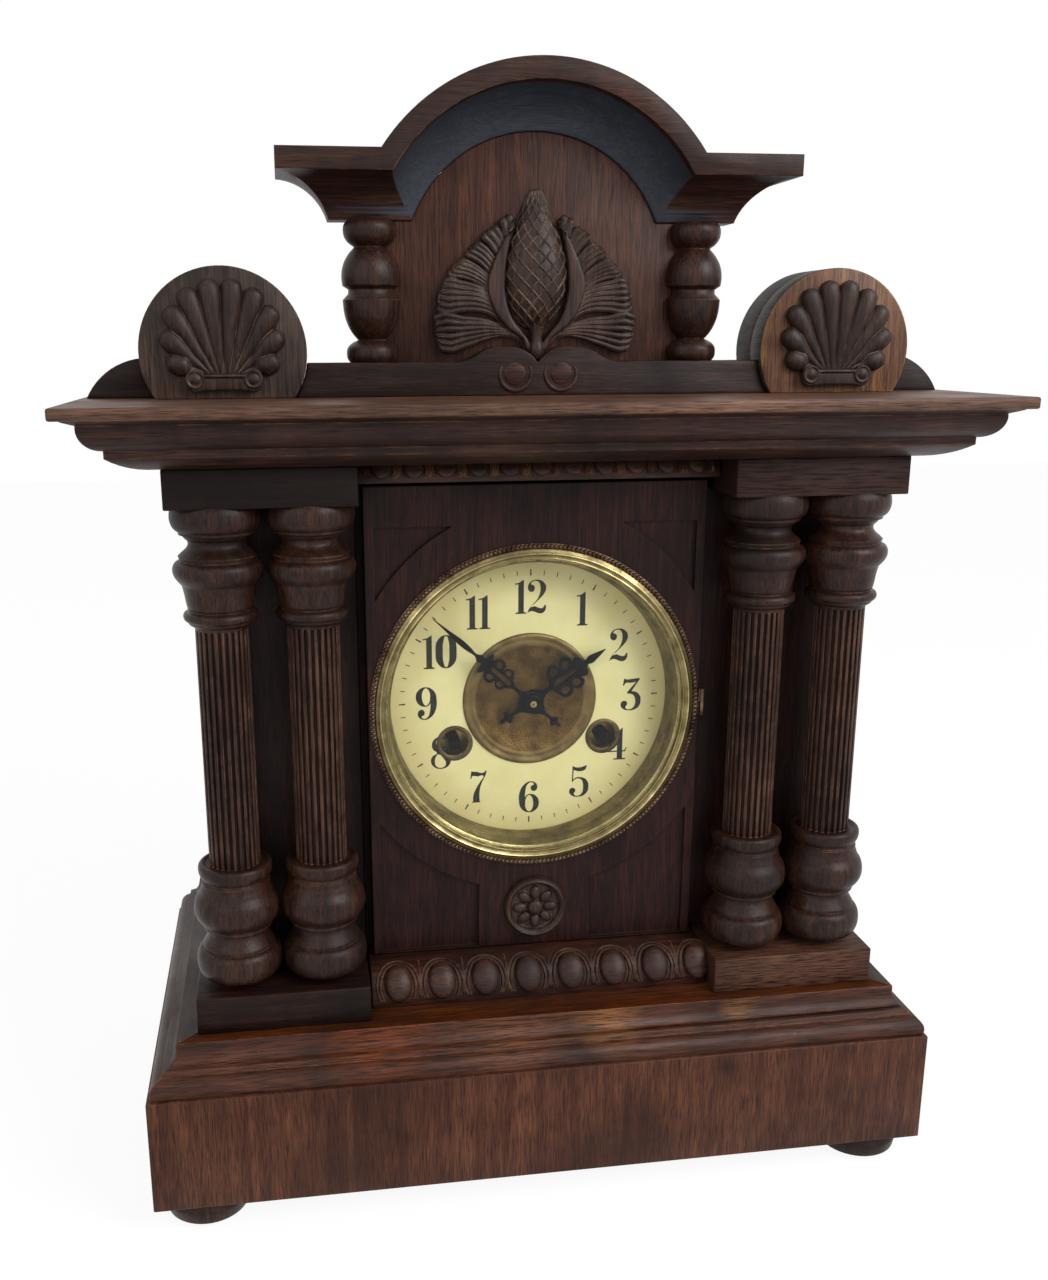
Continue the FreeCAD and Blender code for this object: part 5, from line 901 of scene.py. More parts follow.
oval = points("0.31,1 0.55,0.86 0.62,0.5 0.55,0.14 0.31,0 0.07,0.14 0,0.5 0.07,0.86")
oval_slot = points("""0.31,0.965 0.38,0.84 0.405,0.5 0.38,0.16 0.31,0.035 0.24,0.16 0.215,0.5
    0.24,0.84""")
six = [points("""0.31,0 0.53,0.08 0.62,0.3 0.53,0.52 0.36,0.595 0.25,0.57 0.185,0.49! 0.2,0.72
    0.26,0.9 0.36,0.965 0.43,0.945 0.455,0.89 0.39,0.86 0.36,0.78 0.41,0.695 0.5,0.69
    0.565,0.78 0.53,0.92 0.37,1 0.15,0.9 0.02,0.66 0,0.42 0.07,0.14"""),
       points("0.32,0.035 0.41,0.12 0.44,0.3 0.4,0.48 0.32,0.56 0.235,0.49 0.195,0.3 0.225,0.12")]
digits = {
    "0": (0.62, [oval, oval_slot]),
    "1": (0.34, [points("""0.02,0! 0.34,0! 0.34,0.035! 0.265,0.055! 0.265,1! 0.235,1!
        0.13,0.93 0,0.905! 0,0.865! 0.1,0.875! 0.1,0.055! 0.02,0.035!""")]),
    "2": (0.56, [points("""0,0! 0.03,0.1 0.14,0.25 0.3,0.43 0.37,0.6 0.385,0.78 0.33,0.93
        0.235,0.965 0.15,0.94 0.11,0.87 0.18,0.84 0.22,0.75 0.17,0.655 0.085,0.65 0.015,0.74
        0.06,0.91 0.25,1 0.46,0.94 0.555,0.77 0.5,0.59 0.36,0.43 0.2,0.28 0.12,0.2 0.21,0.215
        0.33,0.17 0.45,0.155 0.51,0.24! 0.555,0.24! 0.54,0.1 0.44,0 0.31,0.01 0.16,0.07
        0.05,0.05""")]),
    "3": (0.62, [points("""0.055,0.78! 0.09,1! 0.17,0.97 0.32,0.98 0.56,1! 0.575,0.965!
        0.33,0.6! 0.46,0.575 0.585,0.46 0.62,0.29 0.56,0.11 0.43,0.02 0.26,0 0.07,0.06 0,0.2
        0.07,0.3 0.165,0.29 0.205,0.2 0.15,0.115 0.18,0.055 0.28,0.035 0.41,0.11 0.45,0.3
        0.38,0.48 0.19,0.535! 0.19,0.565! 0.46,0.885! 0.28,0.86 0.15,0.86 0.09,0.78!""")]),
    "4": (0.64, [points("""0.24,0! 0.62,0! 0.62,0.035! 0.515,0.05! 0.515,0.25! 0.61,0.25!
        0.65,0.38! 0.62,0.38! 0.585,0.29! 0.515,0.29! 0.515,1! 0.48,1! 0,0.3! 0,0.25!
        0.35,0.25! 0.35,0.05! 0.24,0.035!"""),
                 points("0.35,0.29! 0.35,0.76! 0.035,0.29!")]),
    "5": (0.61, [points("""0.08,0.5! 0.1,1! 0.2,0.955 0.36,0.95 0.51,1! 0.54,1! 0.5,0.88
        0.39,0.825 0.25,0.83 0.135,0.87! 0.12,0.56! 0.2,0.62 0.33,0.635 0.52,0.55 0.605,0.33
        0.52,0.09 0.28,0 0.07,0.06 0,0.19 0.06,0.29 0.155,0.285 0.2,0.2 0.15,0.12 0.18,0.055
        0.28,0.035 0.39,0.1 0.435,0.33 0.39,0.53 0.28,0.59 0.17,0.56 0.11,0.49!""")]),
    "6": (0.62, six),
    "7": (0.5, [points("""0,0.76! 0.03,1! 0.06,1! 0.1,0.985 0.21,0.975 0.33,0.935 0.43,0.96
        0.465,1! 0.5,1! 0.46,0.85 0.34,0.6 0.28,0.35 0.28,0.05! 0.31,0! 0.04,0! 0.08,0.05!
        0.09,0.22 0.17,0.44 0.33,0.7 0.4,0.83 0.34,0.86 0.24,0.83 0.13,0.85 0.06,0.84
        0.03,0.76!""")]),
    "8": (0.6, [points("""0.3,1 0.48,0.94 0.555,0.77 0.5,0.62 0.4,0.54 0.54,0.43 0.6,0.26
        0.51,0.07 0.3,0 0.09,0.07 0,0.25 0.06,0.41 0.18,0.5 0.08,0.6 0.035,0.76 0.12,0.94"""),
                points("""0.3,0.965 0.4,0.91 0.43,0.77 0.385,0.63 0.34,0.59 0.23,0.67 0.16,0.8
                    0.2,0.93"""),
                points("""0.3,0.035 0.42,0.08 0.45,0.18 0.38,0.32 0.23,0.46 0.15,0.38
                    0.12,0.22 0.17,0.08""")]),
    "9": (0.62, [[(0.62 - point[0], 1 - point[1], *point[2:]) for point in ring]
                 for ring in six]),
}
print(len(digits), "digits drawn")

# %% [markdown]
# An hour's numeral is set like type: its digits stand side by side with a small gap, and the
# whole is centred on its place on the numeral circle, upright all the way round.

# %% Hour numerals
def numeral(number):
    """One hour's numeral, drawn in millimetres round its own middle."""
    widths = [digits[mark][0] for mark in str(number)]
    start = -(sum(widths) + DIGIT_GAP * (len(widths) - 1)) / 2
    rings = []
    for mark, width in zip(str(number), widths):
        for ring in digits[mark][1]:
            rings.append([((start + point[0]) * NUMERAL_HEIGHT,
                           (point[1] - 0.5) * NUMERAL_HEIGHT, *point[2:]) for point in ring])
        start += width + DIGIT_GAP
    return sawn(f"numeral_{number}", rings, INK, steps=4)


numerals = []
for hour in range(1, 13):
    angle = math.radians(30 * hour)
    numerals.append(set_in(numeral(hour), dial_place(NUMERAL_CIRCLE * math.sin(angle),
                                                     NUMERAL_CIRCLE * math.cos(angle))))
finish_piece(joined("hour_numerals", numerals), "case", ink)

# %% [markdown]
# The minute track is a ring of sixty dashes. Each is a thin plate, a little narrower towards
# the edge of the dial, and every fifth is longer and wider.

# %% Minute track
MINUTE_CIRCLE = 57.2
FIFTH_DASH = (1.4, 0.36)
PLAIN_DASH = (1.05, 0.22)
dashes = []
for minute in range(60):
    angle = math.radians(6 * minute)
    long, wide = PLAIN_DASH if minute % 5 else FIFTH_DASH
    dash = sawn("minute_dash", [[(-wide, -long, "corner"), (wide, -long, "corner"),
                                 (wide * 0.7, long, "corner"),
                                 (-wide * 0.7, long, "corner")]], INK, steps=1)
    dashes.append(set_in(dash, dial_place(MINUTE_CIRCLE * math.sin(angle),
                                          MINUTE_CIRCLE * math.cos(angle)),
                         (math.pi / 2, angle, 0)))
finish_piece(joined("minute_track", dashes), "case", ink)

# %% [markdown]
# ## Centre disc and grommets
# The middle of the dial is a stamped brass disc with a matted field and a double raised rim.
# The two pressed grommets line the winding holes. Both are turned shapes. The matted field is
# its own material, so the disc takes two finishes.

# %% Centre disc and grommets
MATTED_RADIUS = 24.9
disc_profile = points("""3.2,0.15 24.6,0.15 25.3,0.5 26.1,0.62 26.8,0.42 27.4,0.4 28.2,0.9
    29.2,1 29.9,0.65 30.2,0.05 3.2,0.05""")
disc = turned("centre_disc_plate", disc_profile, closed=True)
set_in(disc, dial_place(0, 0), smooth=50)
finish_piece(disc, "case", disc_rim)
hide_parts("centre_disc")


def in_matted_field(across, depth, up, normal):
    """True on the flat middle of the disc."""
    return math.hypot(across, up - DIAL_CENTRE) < MATTED_RADIUS and normal.y < -0.9


paint_faces(disc, matted_bronze, in_matted_field)

grommet_profile = points("""6.1,-1.6 6.1,0.4 6.6,0.68 7.3,0.62 8,0.35 8.2,0.02 6.6,0.02
    6.6,-1.6""")
grommets = []
for side in (-1, 1):
    grommet = turned("grommet", grommet_profile, 48, closed=True)
    grommets.append(set_in(grommet, dial_place(side * 33.9, -19), smooth=50))
grommets = finish_piece(joined("winding_hole_grommets", grommets), "case", grommet_bronze)
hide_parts("winding_grommets")

# %% [markdown]
# ## The hands
# The hands are stamped from thin steel, blackened, with a spear point, a pierced cluster of
# scrolls and a small fleur as a tail. Each is half an outline, mirrored, with its piercings as
# inner outlines, which a flat curve leaves open.

# %% Hand outlines
# Blackened steel is a blue-black with a small gleam, darker than anything else on the dial.
# On the winding arbors the same black is painted shade, deep in the winding holes.
black_steel_and_hole_shade = old_metal("Stamped steel hand, blackened", "#17181C", "#0C0C10", 0.34)
MINUTE_HAND_AT = math.radians(-48)
HOUR_HAND_AT = math.radians(56)

minute_half = points("""0,-17.4! 1,-15.8 0.7,-14.8 2.7,-13.8! 2,-12.3 0.9,-11.4 0.8,-9
    1.4,-6.2 3,-4.4 4.4,-1.5 4.4,1.5 2.9,4.4 1.3,7.4 1.1,11.5 2.6,14 4.8,15.4 5.4,17.4
    4.2,19.2 3.2,19.8! 5.4,21 6,23.2 4.9,25.3 3,26! 4.2,27.2 5.6,28.4! 3.6,29.2 1.5,29.8
    1.9,31.6 0.7,33.8 1.1,38 1.3,43 0.6,51 0.1,59.3!""")
minute_side_holes = [points("2.9,15.9 4.1,17.1 3.4,18.5 2,17.6"),
                     points("2.9,21.3 4.5,22.6 3.9,24.4 2.4,23.6")]
minute_middle_hole = points("0,13.4 0.8,16.5 0.7,20.5 0,24.6 -0.7,20.5 -0.8,16.5")
hour_half = points("""0,-17.3! 1.2,-15.6 0.9,-14.4 3,-13.2! 2.3,-11.6 1.1,-10.6 1,-8.4
    1.7,-6.2 3.6,-4.4 5,-1.6 5,1.6 3.3,4.6 1.5,7 1.6,10.4 4.4,11.6 7,12.8 8.4,15.2 7.6,17.8
    5.6,18.6! 7.8,20.2 8,22.8 6.2,24.8 4,24.6! 5,26.6 3.8,28.6 1.8,28.9 1.2,30 1.8,32 1.3,35
    0.1,40.2!""")
hour_side_holes = [points("4.2,13.4 6.4,14.4 6.4,16.4 4.4,17 3.2,15.2"),
                   points("4.2,19.6 6.3,20.8 5.8,22.8 3.8,22.6 2.8,21")]
hour_middle_hole = points("0,12.4 1.2,15.5 1,19.5 0,24.2 -1,19.5 -1.2,15.5")


print("outlines of", len(minute_half), "and", len(hour_half), "points")

# %% [markdown]
# A hand is cut from its outlines, turned to its time, and set at its depth in front of the
# dial. The minute hand lies over the hour hand, and a small pin holds both.

# %% Hands
def hand(name, half, side_holes, middle_hole, angle, depth, node, body):
    """A fretted hand, turned to its time and set at its depth."""
    left_holes = [[(-point[0], point[1]) for point in hole] for hole in side_holes]
    rings = [mirrored(half), middle_hole, *side_holes, *left_holes]
    piece = set_in(sawn(name, rings, 0.7, 0.1), dial_place(0, 0, depth),
                   (math.pi / 2, angle, 0))
    finish_piece(piece, body, black_steel_and_hole_shade)
    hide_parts(node)


hand("minute_hand_fretted", minute_half, minute_side_holes, minute_middle_hole,
     MINUTE_HAND_AT, 55.0, "minute_hand", "minute_arbor")
hand("hour_hand_fretted", hour_half, hour_side_holes, hour_middle_hole, HOUR_HAND_AT, 57.8,
     "hour_hand", "hour_wheel")
# The winding arbors take this black as painted shade inside the winding holes.
coat(black_steel_and_hole_shade, "hand_nut", "time_winding_arbor", "strike_winding_arbor")
PIN_DEPTH = 52.7
pin = turned("hand_pin", points("0,0.9 0.55,0.8 0.75,0.45 0.8,0 0,0"), 24)
set_in(pin, dial_place(0, 0, PIN_DEPTH))
finish_piece(pin, "minute_arbor", bare_steel)

# %% [markdown]
# ## Bezel and glass
# The bezel hangs on a small hinge, browned like the rim so that it doesn't catch the eye. Its
# knuckle and tab are plain, so they are copied from the solid first: everything of the solid
# inside the rim's circle is cut away.

# %% Bezel knuckle
HINGE_STARTS = 72.7
knuckle = clean_copy("bezel_ring", "bezel_knuckle_brass")
with editing(knuckle):
    bpy.ops.mesh.bisect(plane_co=dial_place(HINGE_STARTS, 0), plane_no=(1, 0, 0),
                        clear_inner=True, use_fill=True)
finish_piece(knuckle, "bezel", bronze_rim)

# %% [markdown]
# The ring is spun from one sheet of brass: a milled rope round the rim, a bright raised line,
# a hollow, and a deep flange that runs back to the dial. The rope is one bead copied right
# round the rim, and each bead has only a few dozen faces because there are so many.

# %% Bezel
ROPE_RADIUS = 71.3
ROPE_BEADS = 240
BEAD_SHAPE = (1.1, 0.84, 0.95)
BROWNED_FROM = 70.1
bezel_profile = points("""72.4,46 72.4,45.3 71.4,44.9 70.4,45.2 70,44.9 69.6,44.6 69,44.5
    68.5,44.1 68.1,43.88 67.7,44.1 67.3,44.6 66.7,44.8 66.1,44.6 65.8,44.35 65.5,44.6
    65.45,45.2 65.45,47.4 64.6,47.7 64.3,48.1 64.5,48.7 64.2,50.4 63.4,52.8 63,53.2 63,53.8
    62.6,57.4 62.2,60.9 62.7,60.9 63.4,57.5 64,53.8 64.8,51 65.9,48.8 66.6,46""")
bezel = turned("bezel_spun_ring", bezel_profile, 160, closed=True)
set_in(bezel, dial_place(0, 0, 0), (-math.pi / 2, 0, 0), smooth=50)
rope = ball(8, 5, (ROPE_RADIUS, 0, 0))
ring_of(rope, (ROPE_RADIUS, 0, 0), BEAD_SHAPE, ROPE_BEADS)
bpy.ops.object.transform_apply(location=True, rotation=False, scale=False)
rope.name = rope.data.name = "bezel_milled_rope"
set_in(rope, dial_place(0, 0, 44.85), smooth=60)
finish_piece(rope, "bezel", bronze_rim)
finish_piece(bezel, "bezel", olive_brass)


def on_raised_line(across, depth, up, normal):
    """True on the three lines of the ring that stand proud."""
    radius = math.hypot(across, up - DIAL_CENTRE)
    on_rim = 67.6 < radius < 68.6 and depth < 44.4
    on_lip = 65.4 < radius < 66.1 and depth < 44.8
    on_step = 64.2 < radius < 64.7 and 47.6 < depth < 48.5
    return on_rim or on_lip or on_step


paint_faces(bezel, bright_brass, on_raised_line)
paint_faces(bezel, bronze_rim, lambda across, depth, up, normal:
            math.hypot(across, up - DIAL_CENTRE) > BROWNED_FROM)
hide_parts("bezel_ring")

# %% [markdown]
# The glass is a shallow dome. Real glass throws hardly any shadow, but a render's glass would
# darken the dial. So light on its way to the dial takes a plain see-through shader, and only
# the eye meets real glass.

# %% Glass
# It bends light less than new glass, so the dial shows almost undisturbed, with a pale veil.
glass, tree = new_material("Clear window glass, domed")
rays = add(tree, "LightPath").outputs
clear = add(tree, "BsdfPrincipled", {"Base Color": linear("#F8FAF4"), "Roughness": 0.02,
                                     "IOR": 1.25, "Transmission Weight": 1.0})
passing = add(tree, "BsdfTransparent", {"Color": linear("#F8FAF4")})
through = add(tree, "Math", {0: rays["Is Shadow Ray"], 1: rays["Is Diffuse Ray"]},
              operation="MAXIMUM")
window = add(tree, "MixShader", {0: through, 1: clear, 2: passing})
add(tree, "OutputMaterial", {"Surface": window})

GLASS_RADIUS = 65.2
GLASS_EDGE = 45.45
GLASS_RISE = 2.4
GLASS_THICKNESS = 1.5
DOME_STEPS = 14
dome = [(GLASS_RADIUS * step / DOME_STEPS,
         GLASS_RISE * (1 - (step / DOME_STEPS) ** 2)) for step in range(DOME_STEPS + 1)]
pane = turned("bezel_domed_glass",
              dome + [(radius, rise - GLASS_THICKNESS) for radius, rise in reversed(dome)], 128)
set_in(pane, dial_place(0, 0, GLASS_EDGE), smooth=40)
finish_piece(pane, "bezel", glass)
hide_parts("bezel_glass")

# %% [markdown]
# ## The pine cone and its leaves
# The crest carries a carved pine cone between two fans of leaves. The cone is turned, flattened
# and halved, and its scales are the diamonds between two sets of thin ridges that wind round it
# both ways. A ridge is drawn only where it comes round to the front.

# %% Pine cone
CONE_BASE = 26.1
CONE_RELIEF_SHARE = 0.69
cone_profile = points("""0,0 3.6,0.1 6.9,2.6 10.3,8 12.2,13.5 13.2,21.5 12.4,28.5 10.3,35.5
    7.6,42.5 5,48.2 3,52.4 1.6,54 0,54.4""")


def cone_radius(height):
    """The cone's half-width at a height, read between the profile's points."""
    for (low_radius, low), (high_radius, high) in zip(cone_profile[1:], cone_profile[2:]):
        if height <= high:
            share = (height - low) / (high - low)
            return low_radius + (high_radius - low_radius) * share
    return 0.0


cone = turned("cone_body", cone_profile, 64)
set_in(cone, place(0, CREST_FACE, CREST_FLOOR + CONE_BASE), (0, 0, 0),
       (1, CONE_RELIEF_SHARE, 1))
with editing(cone):
    bpy.ops.mesh.bisect(plane_co=place(0, CREST_FACE + 0.3, 0), plane_no=(0, 1, 0),
                        clear_outer=True, use_fill=True)

SCALE_ROWS = 13
SCALE_TURN = 0.078
SCALE_RIDGE = 0.36
SCALE_STEPS = 27
SCALED_FROM, SCALED_HEIGHT = 1.0, 52.4
FRONT_ANGLE = 1.75
scale_lines = []
for way in (-1, 1):
    for row in range(SCALE_ROWS):
        line = []
        for step in range(SCALE_STEPS + 1):
            height = SCALED_FROM + SCALED_HEIGHT * step / SCALE_STEPS
            winding = WHOLE_TURN * row / SCALE_ROWS + way * SCALE_TURN * height
            angle = (winding + math.pi) % WHOLE_TURN - math.pi
            if abs(angle) < FRONT_ANGLE:
                radius = cone_radius(height) + 0.05
                line.append((radius * math.sin(angle), CONE_BASE + height,
                             CONE_RELIEF_SHARE * radius * math.cos(angle), SCALE_RIDGE))
            else:
                scale_lines.append(line)
                line = []
        scale_lines.append(line)
scale_lines = [line for line in scale_lines if len(line) > 2]
print(len(scale_lines), "ridges between the scales")
scales = set_in(ridges("cone_scales", scale_lines, 1, 2), place(0, CREST_FACE, CREST_FLOOR))

# %% [markdown]
# Each fan has six lobes, with their edges close together like feathers. A lobe is a sawn plate
# with ribs that run from the stem out to its edge. The lobes are given once, for the right
# side, and the left side is their mirror image.

# %% Leaf outlines
# Each lobe: its lower edge, its upper edge, the middle of its tip, and how many ribs it has.
fan_lobes = [
    (points("3.4,16 6.8,21.3 12.2,23.4 19.6,22.3 27.6,19.4 37.8,17.3"),
     points("4,20 5.8,22.8 11.1,26.6 19.6,30 30.3,31.4 41,32.1"),
     (41.8, 24.8), 6),
    (points("13,27.8 18,31.6 23.5,33 31,32.8 39.5,32.3"),
     points("19.6,40.5 23.5,43 27.5,44.4 31.5,45.4 35.9,46.2"),
     (40.6, 39.0), 6),
    (points("19.6,41 23.6,43.6 27.6,45.2 31.6,46.2 35.8,46.8"),
     points("19.4,47.4 22,49.6 24.4,51.4 26.8,52.6 29,53.4"),
     (34.2, 51.2), 5),
    (points("19.2,47.8 22,50.4 24.4,52.2 26.6,53.4 28.8,54.4"),
     points("17,54.5 18.6,56.4 20,58 21.4,59 22.6,59.8"),
     (27.0, 58.4), 4),
    (points("16.6,55.1 18.4,57.2 19.8,58.8 21.2,60 22.4,60.9"),
     points("13.4,61 14,62.6 14.5,63.8 15,64.8 15.4,65.4"),
     (19.9, 64.6), 3),
    (points("13.2,61.5 13.8,63.2 14.3,64.8 14.7,66 15,67"),
     points("9.6,66.6 9.7,67.6 9.8,68.4 9.9,69 9.9,69.5"),
     (12.6, 70.0), 2),
]
inner_leaf = points("""3,17.5 6.3,22.3 13.2,27.7 18,34.6 20.2,44.2 18.6,50.1 15.4,57.5
    11.9,63.9 9,69! 10.2,63.6 11.9,55.9 13,46.3 12.6,38.9 9.8,30.3 5.6,25 2.4,20""")


def between(low, high, share):
    """A point between two others."""
    return tuple(a + (b - a) * share for a, b in zip(low, high))


print("ribs on one fan:", sum(lobe[3] for lobe in fan_lobes))

# %% [markdown]
# The ribs of a lobe lie side by side between its two edges. They swell from the stem outwards,
# stand highest in the middle of the lobe, and draw in at its tip.

# %% Leaves
leaf_pieces = []
for side in (-1, 1):
    for lower, upper, tip, rib_count in fan_lobes:
        round_tip = [between(lower[-1], tip, 0.6), tip, between(upper[-1], tip, 0.6)]
        edge = [*lower, *round_tip, *reversed(upper)]
        lobe = sawn("leaf_lobe", [[(side * x, y) for x, y in edge]], 3.4, 0.9)
        leaf_pieces.append(set_in(lobe, place(0, CREST_FACE - 1.5, CREST_FLOOR)))
        lines = []
        for rib in range(rib_count):
            share = (rib + 0.5) / rib_count
            crown = math.sin(math.pi * share)
            line = []
            for number, (low, high) in enumerate(zip(lower, upper)):
                along = number / (len(lower) - 1)
                x, y = between(low, high, share)
                gap = math.dist(low, high) / rib_count
                swell = min(1.0, 0.45 + 1.1 * along)
                line.append((side * x, y, 2.3 + 0.9 * crown * swell, max(0.3, 0.6 * gap)))
            x, y = between(between(lower[-1], upper[-1], share), tip,
                           0.72 * (1 - abs(share - 0.5)))
            line.append((side * x, y, 1.6, line[-1][3] * 0.7))
            lines.append(line)
        leaf_pieces.append(set_in(ridges("leaf_ribs", lines, 2, 3),
                                  place(0, CREST_FACE, CREST_FLOOR)))
    leaf = sawn("inner_leaf", [[(side * point[0], *point[1:]) for point in inner_leaf]],
                5.6, 1.2)
    leaf_pieces.append(set_in(leaf, place(0, CREST_FACE - 2.6, CREST_FLOOR)))
bud = turned("stem_bud", points("0,0 2.2,0.5 3.3,2.6 3.1,5.2 2.2,8.5 3.2,12.8 0,13.4"), 32)
leaf_pieces.append(set_in(bud, place(0, CREST_FACE - 4.2, CREST_FLOOR + 14.2), (0, 0, 0),
                          (1, 1.1, 1)))
pine_cone = joined("pine_cone_carving", [cone, scales, *leaf_pieces])
finish_piece(pine_cone, "case", carved_alder)
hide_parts("pine_cone_ornament")

# %% [markdown]
# ## Volutes on the crest rail
# The wavy rail ends in two scrolls under the cone. Each is a raised crescent, open at the top,
# round a low button, and the gap between them reads as the carved groove.

# %% Volutes
RAIL_FRONT = 49.0
VOLUTE_ACROSS, VOLUTE_UP, VOLUTE_RADIUS = 9.7, 8.6, 6.9
VOLUTE_STEPS = 15
volutes = []
for side in (-1, 1):
    scroll = []
    for step in range(VOLUTE_STEPS):
        angle = math.radians(28 - 17 * step)
        radius = VOLUTE_RADIUS - 0.06 * step
        swell = 0.3 + 0.75 * math.sin(math.pi * (step + 0.5) / VOLUTE_STEPS)
        scroll.append((side * (VOLUTE_ACROSS - radius * math.cos(angle)),
                       VOLUTE_UP + radius * math.sin(angle), 0.0, swell))
    volutes.append(set_in(ridges("volute_scroll", [scroll], 2, 3),
                          place(0, RAIL_FRONT, CREST_FLOOR)))
    button = turned("volute_button", points("4.6,-0.4 4.4,0.25 3.6,0.5 1.6,0.65 0,0.7"), 40)
    volutes.append(set_in(button, place(side * VOLUTE_ACROSS, RAIL_FRONT,
                                        CREST_FLOOR + VOLUTE_UP)))
finish_piece(joined("crest_rail_volutes", volutes), "case", beech_level)

# %% [markdown]
# ## The shells
# Each drum carries a scallop shell with ten fat lobes. A lobe is one ridge that starts thin at
# the hub and ends in a round tip. A bar with two small scrolls closes the shell below.

# %% Shells
lobe_tips = points("4.3,41.6 12.5,38.4 18.4,31.8 20.3,22.8 18.3,13.8")
LOBE_TIP_RADIUS = 4.35
scroll_profile = points("3.75,-4.2 3.7,0 3.2,0.55 2.7,0.4 2.3,0.1 1.9,0.35 1.2,0.75 0,0.85")
DRUM_ACROSS = 125.7
DRUM_FACE = 46.5


def shell(name, across):
    """One carved shell on its drum."""
    lines = []
    for side in (-1, 1):
        for order, (x, y) in enumerate(lobe_tips):
            hub = (1.0 + 1.5 * order, 8.6 + 0.3 * order)
            lean = 0.35 * order
            middle = (hub[0] * 0.5 + x * 0.5 - lean * 0.3, hub[1] * 0.5 + y * 0.5 - lean * 0.6)
            reach = math.dist(hub, (x, y))
            out = ((x - middle[0]) / math.dist(middle, (x, y)),
                   (y - middle[1]) / math.dist(middle, (x, y)))
            line = [(*hub, 0.9, 0.9), (*middle, 1.5, 1.0 + 0.06 * reach),
                    (x - 3 * out[0], y - 3 * out[1], 1.6, LOBE_TIP_RADIUS),
                    (x, y, 1.3, LOBE_TIP_RADIUS * 0.98)]
            for onward, narrower in ((1.5, 0.88), (2.6, 0.66), (3.3, 0.36), (3.6, 0.1)):
                line.append((x + onward * out[0], y + onward * out[1], 1.1 - 0.16 * onward,
                             LOBE_TIP_RADIUS * narrower))
            lines.append([(side * point[0], *point[1:]) for point in line])
    lobes = set_in(ridges(name + "_lobes", lines, 4, 4), place(across, DRUM_FACE, CREST_FLOOR),
                   shape=(1, 1, 0.78))
    ground = sawn(name + "_ground", [mirrored(
        points("0,7 10,7.5 17.5,13 19.5,22 17.5,31 12,37 4.3,40.6 0,40.2"))], 1.6, 0.3)
    set_in(ground, place(across, 45.9, CREST_FLOOR))
    bar = sawn(name + "_bar", [mirrored(
        points("0,3.4 8,3.2 12.4,2.9 14.6,5.2 13.4,8.6 8.6,8.2 0,8.6"))], 4.0, 0.7)
    set_in(bar, place(across, 44.7, CREST_FLOOR))
    bead = ridges(name + "_bead", [[(-8.2, 8.9, 4.2, 0.55), (0, 8.9, 4.4, 0.6),
                                    (8.2, 8.9, 4.2, 0.55)]], 2, 4)
    set_in(bead, place(across, DRUM_FACE, CREST_FLOOR))
    scrolls = []
    for side in (-1, 1):
        scroll = turned(name + "_scroll", scroll_profile, 40)
        scrolls.append(set_in(scroll, place(across + side * 11.2, 42.3, CREST_FLOOR + 7.6)))
    return joined(name, [lobes, ground, bar, bead, *scrolls])


shells = joined("shell_carvings", [shell("shell_left", -DRUM_ACROSS),
                                   shell("shell_right", DRUM_ACROSS)])
finish_piece(shells, "case", carved_alder)
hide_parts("shells")

# %% [markdown]
# ## The rosette
# Under the dial sits a pressed rosette: a rolled rim, eight petals and a button. One petal is a
# sphere drawn out and flattened, and it is turned round the middle eight times.

# %% Rosette
ROSETTE_UP = 119.5
PETALS = 8
PETAL_MIDDLE = (0, 6.9, 0.7)
PETAL_SHAPE = (2.45, 3.4, 2.1)
rim_profile = points("0,0.6 10.6,0.6 11,1.6 11.9,2.9 12.9,3.3 13.8,2.6 14.25,1.3 14.3,0 0,0")
rim = turned("rosette_rim", rim_profile, 72, closed=True)
set_in(rim, place(0, PANEL_FRONT, ROSETTE_UP))
petals = ball(20, 12, PETAL_MIDDLE)
bpy.ops.object.transform_apply(location=True, rotation=False, scale=False)
ring_of(petals, PETAL_MIDDLE, PETAL_SHAPE, PETALS)
set_in(petals, place(0, PANEL_FRONT, ROSETTE_UP))
button = set_in(turned("rosette_button", points("3.6,0.4 3.5,2.2 2.8,3.1 1.4,3.6 0,3.7"), 40),
                place(0, PANEL_FRONT, ROSETTE_UP))
rosette = joined("panel_rosette_carving", [rim, petals, button])
finish_piece(rosette, "case", carved_alder)
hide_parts("panel_rosette")

# %% [markdown]
# ## Egg and dart
# The two small mouldings over and under the panel are carved with eggs. Each egg sits in two
# horseshoe ridges with a dart between neighbours, all of it on the moulding's round front. A
# place on that round front is given by how far across it is and how far up its arc.

# %% Places on a round front
def on_round_front(share, front, drop, low, high, swell):
    """Depth and height on a moulding's arc, with its outward direction, from 0 to 1."""
    chord = math.hypot(drop, high - low)
    radius = chord / (8 * swell) + chord * swell / 2
    half = math.asin(chord / (2 * radius))
    lean = math.atan2(high - low, drop)
    turn = half * (2 * share - 1)
    along = chord / 2 + radius * math.sin(turn)
    out = radius * math.cos(turn) - radius * math.cos(half)
    depth = front + along * math.cos(lean) - out * math.sin(lean)
    up = low + along * math.sin(lean) + out * math.cos(lean)
    return depth, up, lean - turn


EGG_PITCH_LOWER = 19.4
EGG_PITCH_UPPER = 13.2
# Each front: its depth, how far it runs back, its lower and upper height, and its swell.
LOWER_FRONT = (28.0, 11.55, 87.2, 100.2, 0.2)
UPPER_FRONT = (38.0, 7.35, 313.8, 321.0, 0.2)
print("middle of the lower arc:", on_round_front(0.5, *LOWER_FRONT))

# %% [markdown]
# One call carves a whole row. Every egg is a ball drawn out along the arc and leant with it.
# The ridges of a row are one drawing, and each keeps its own thickness along its line.

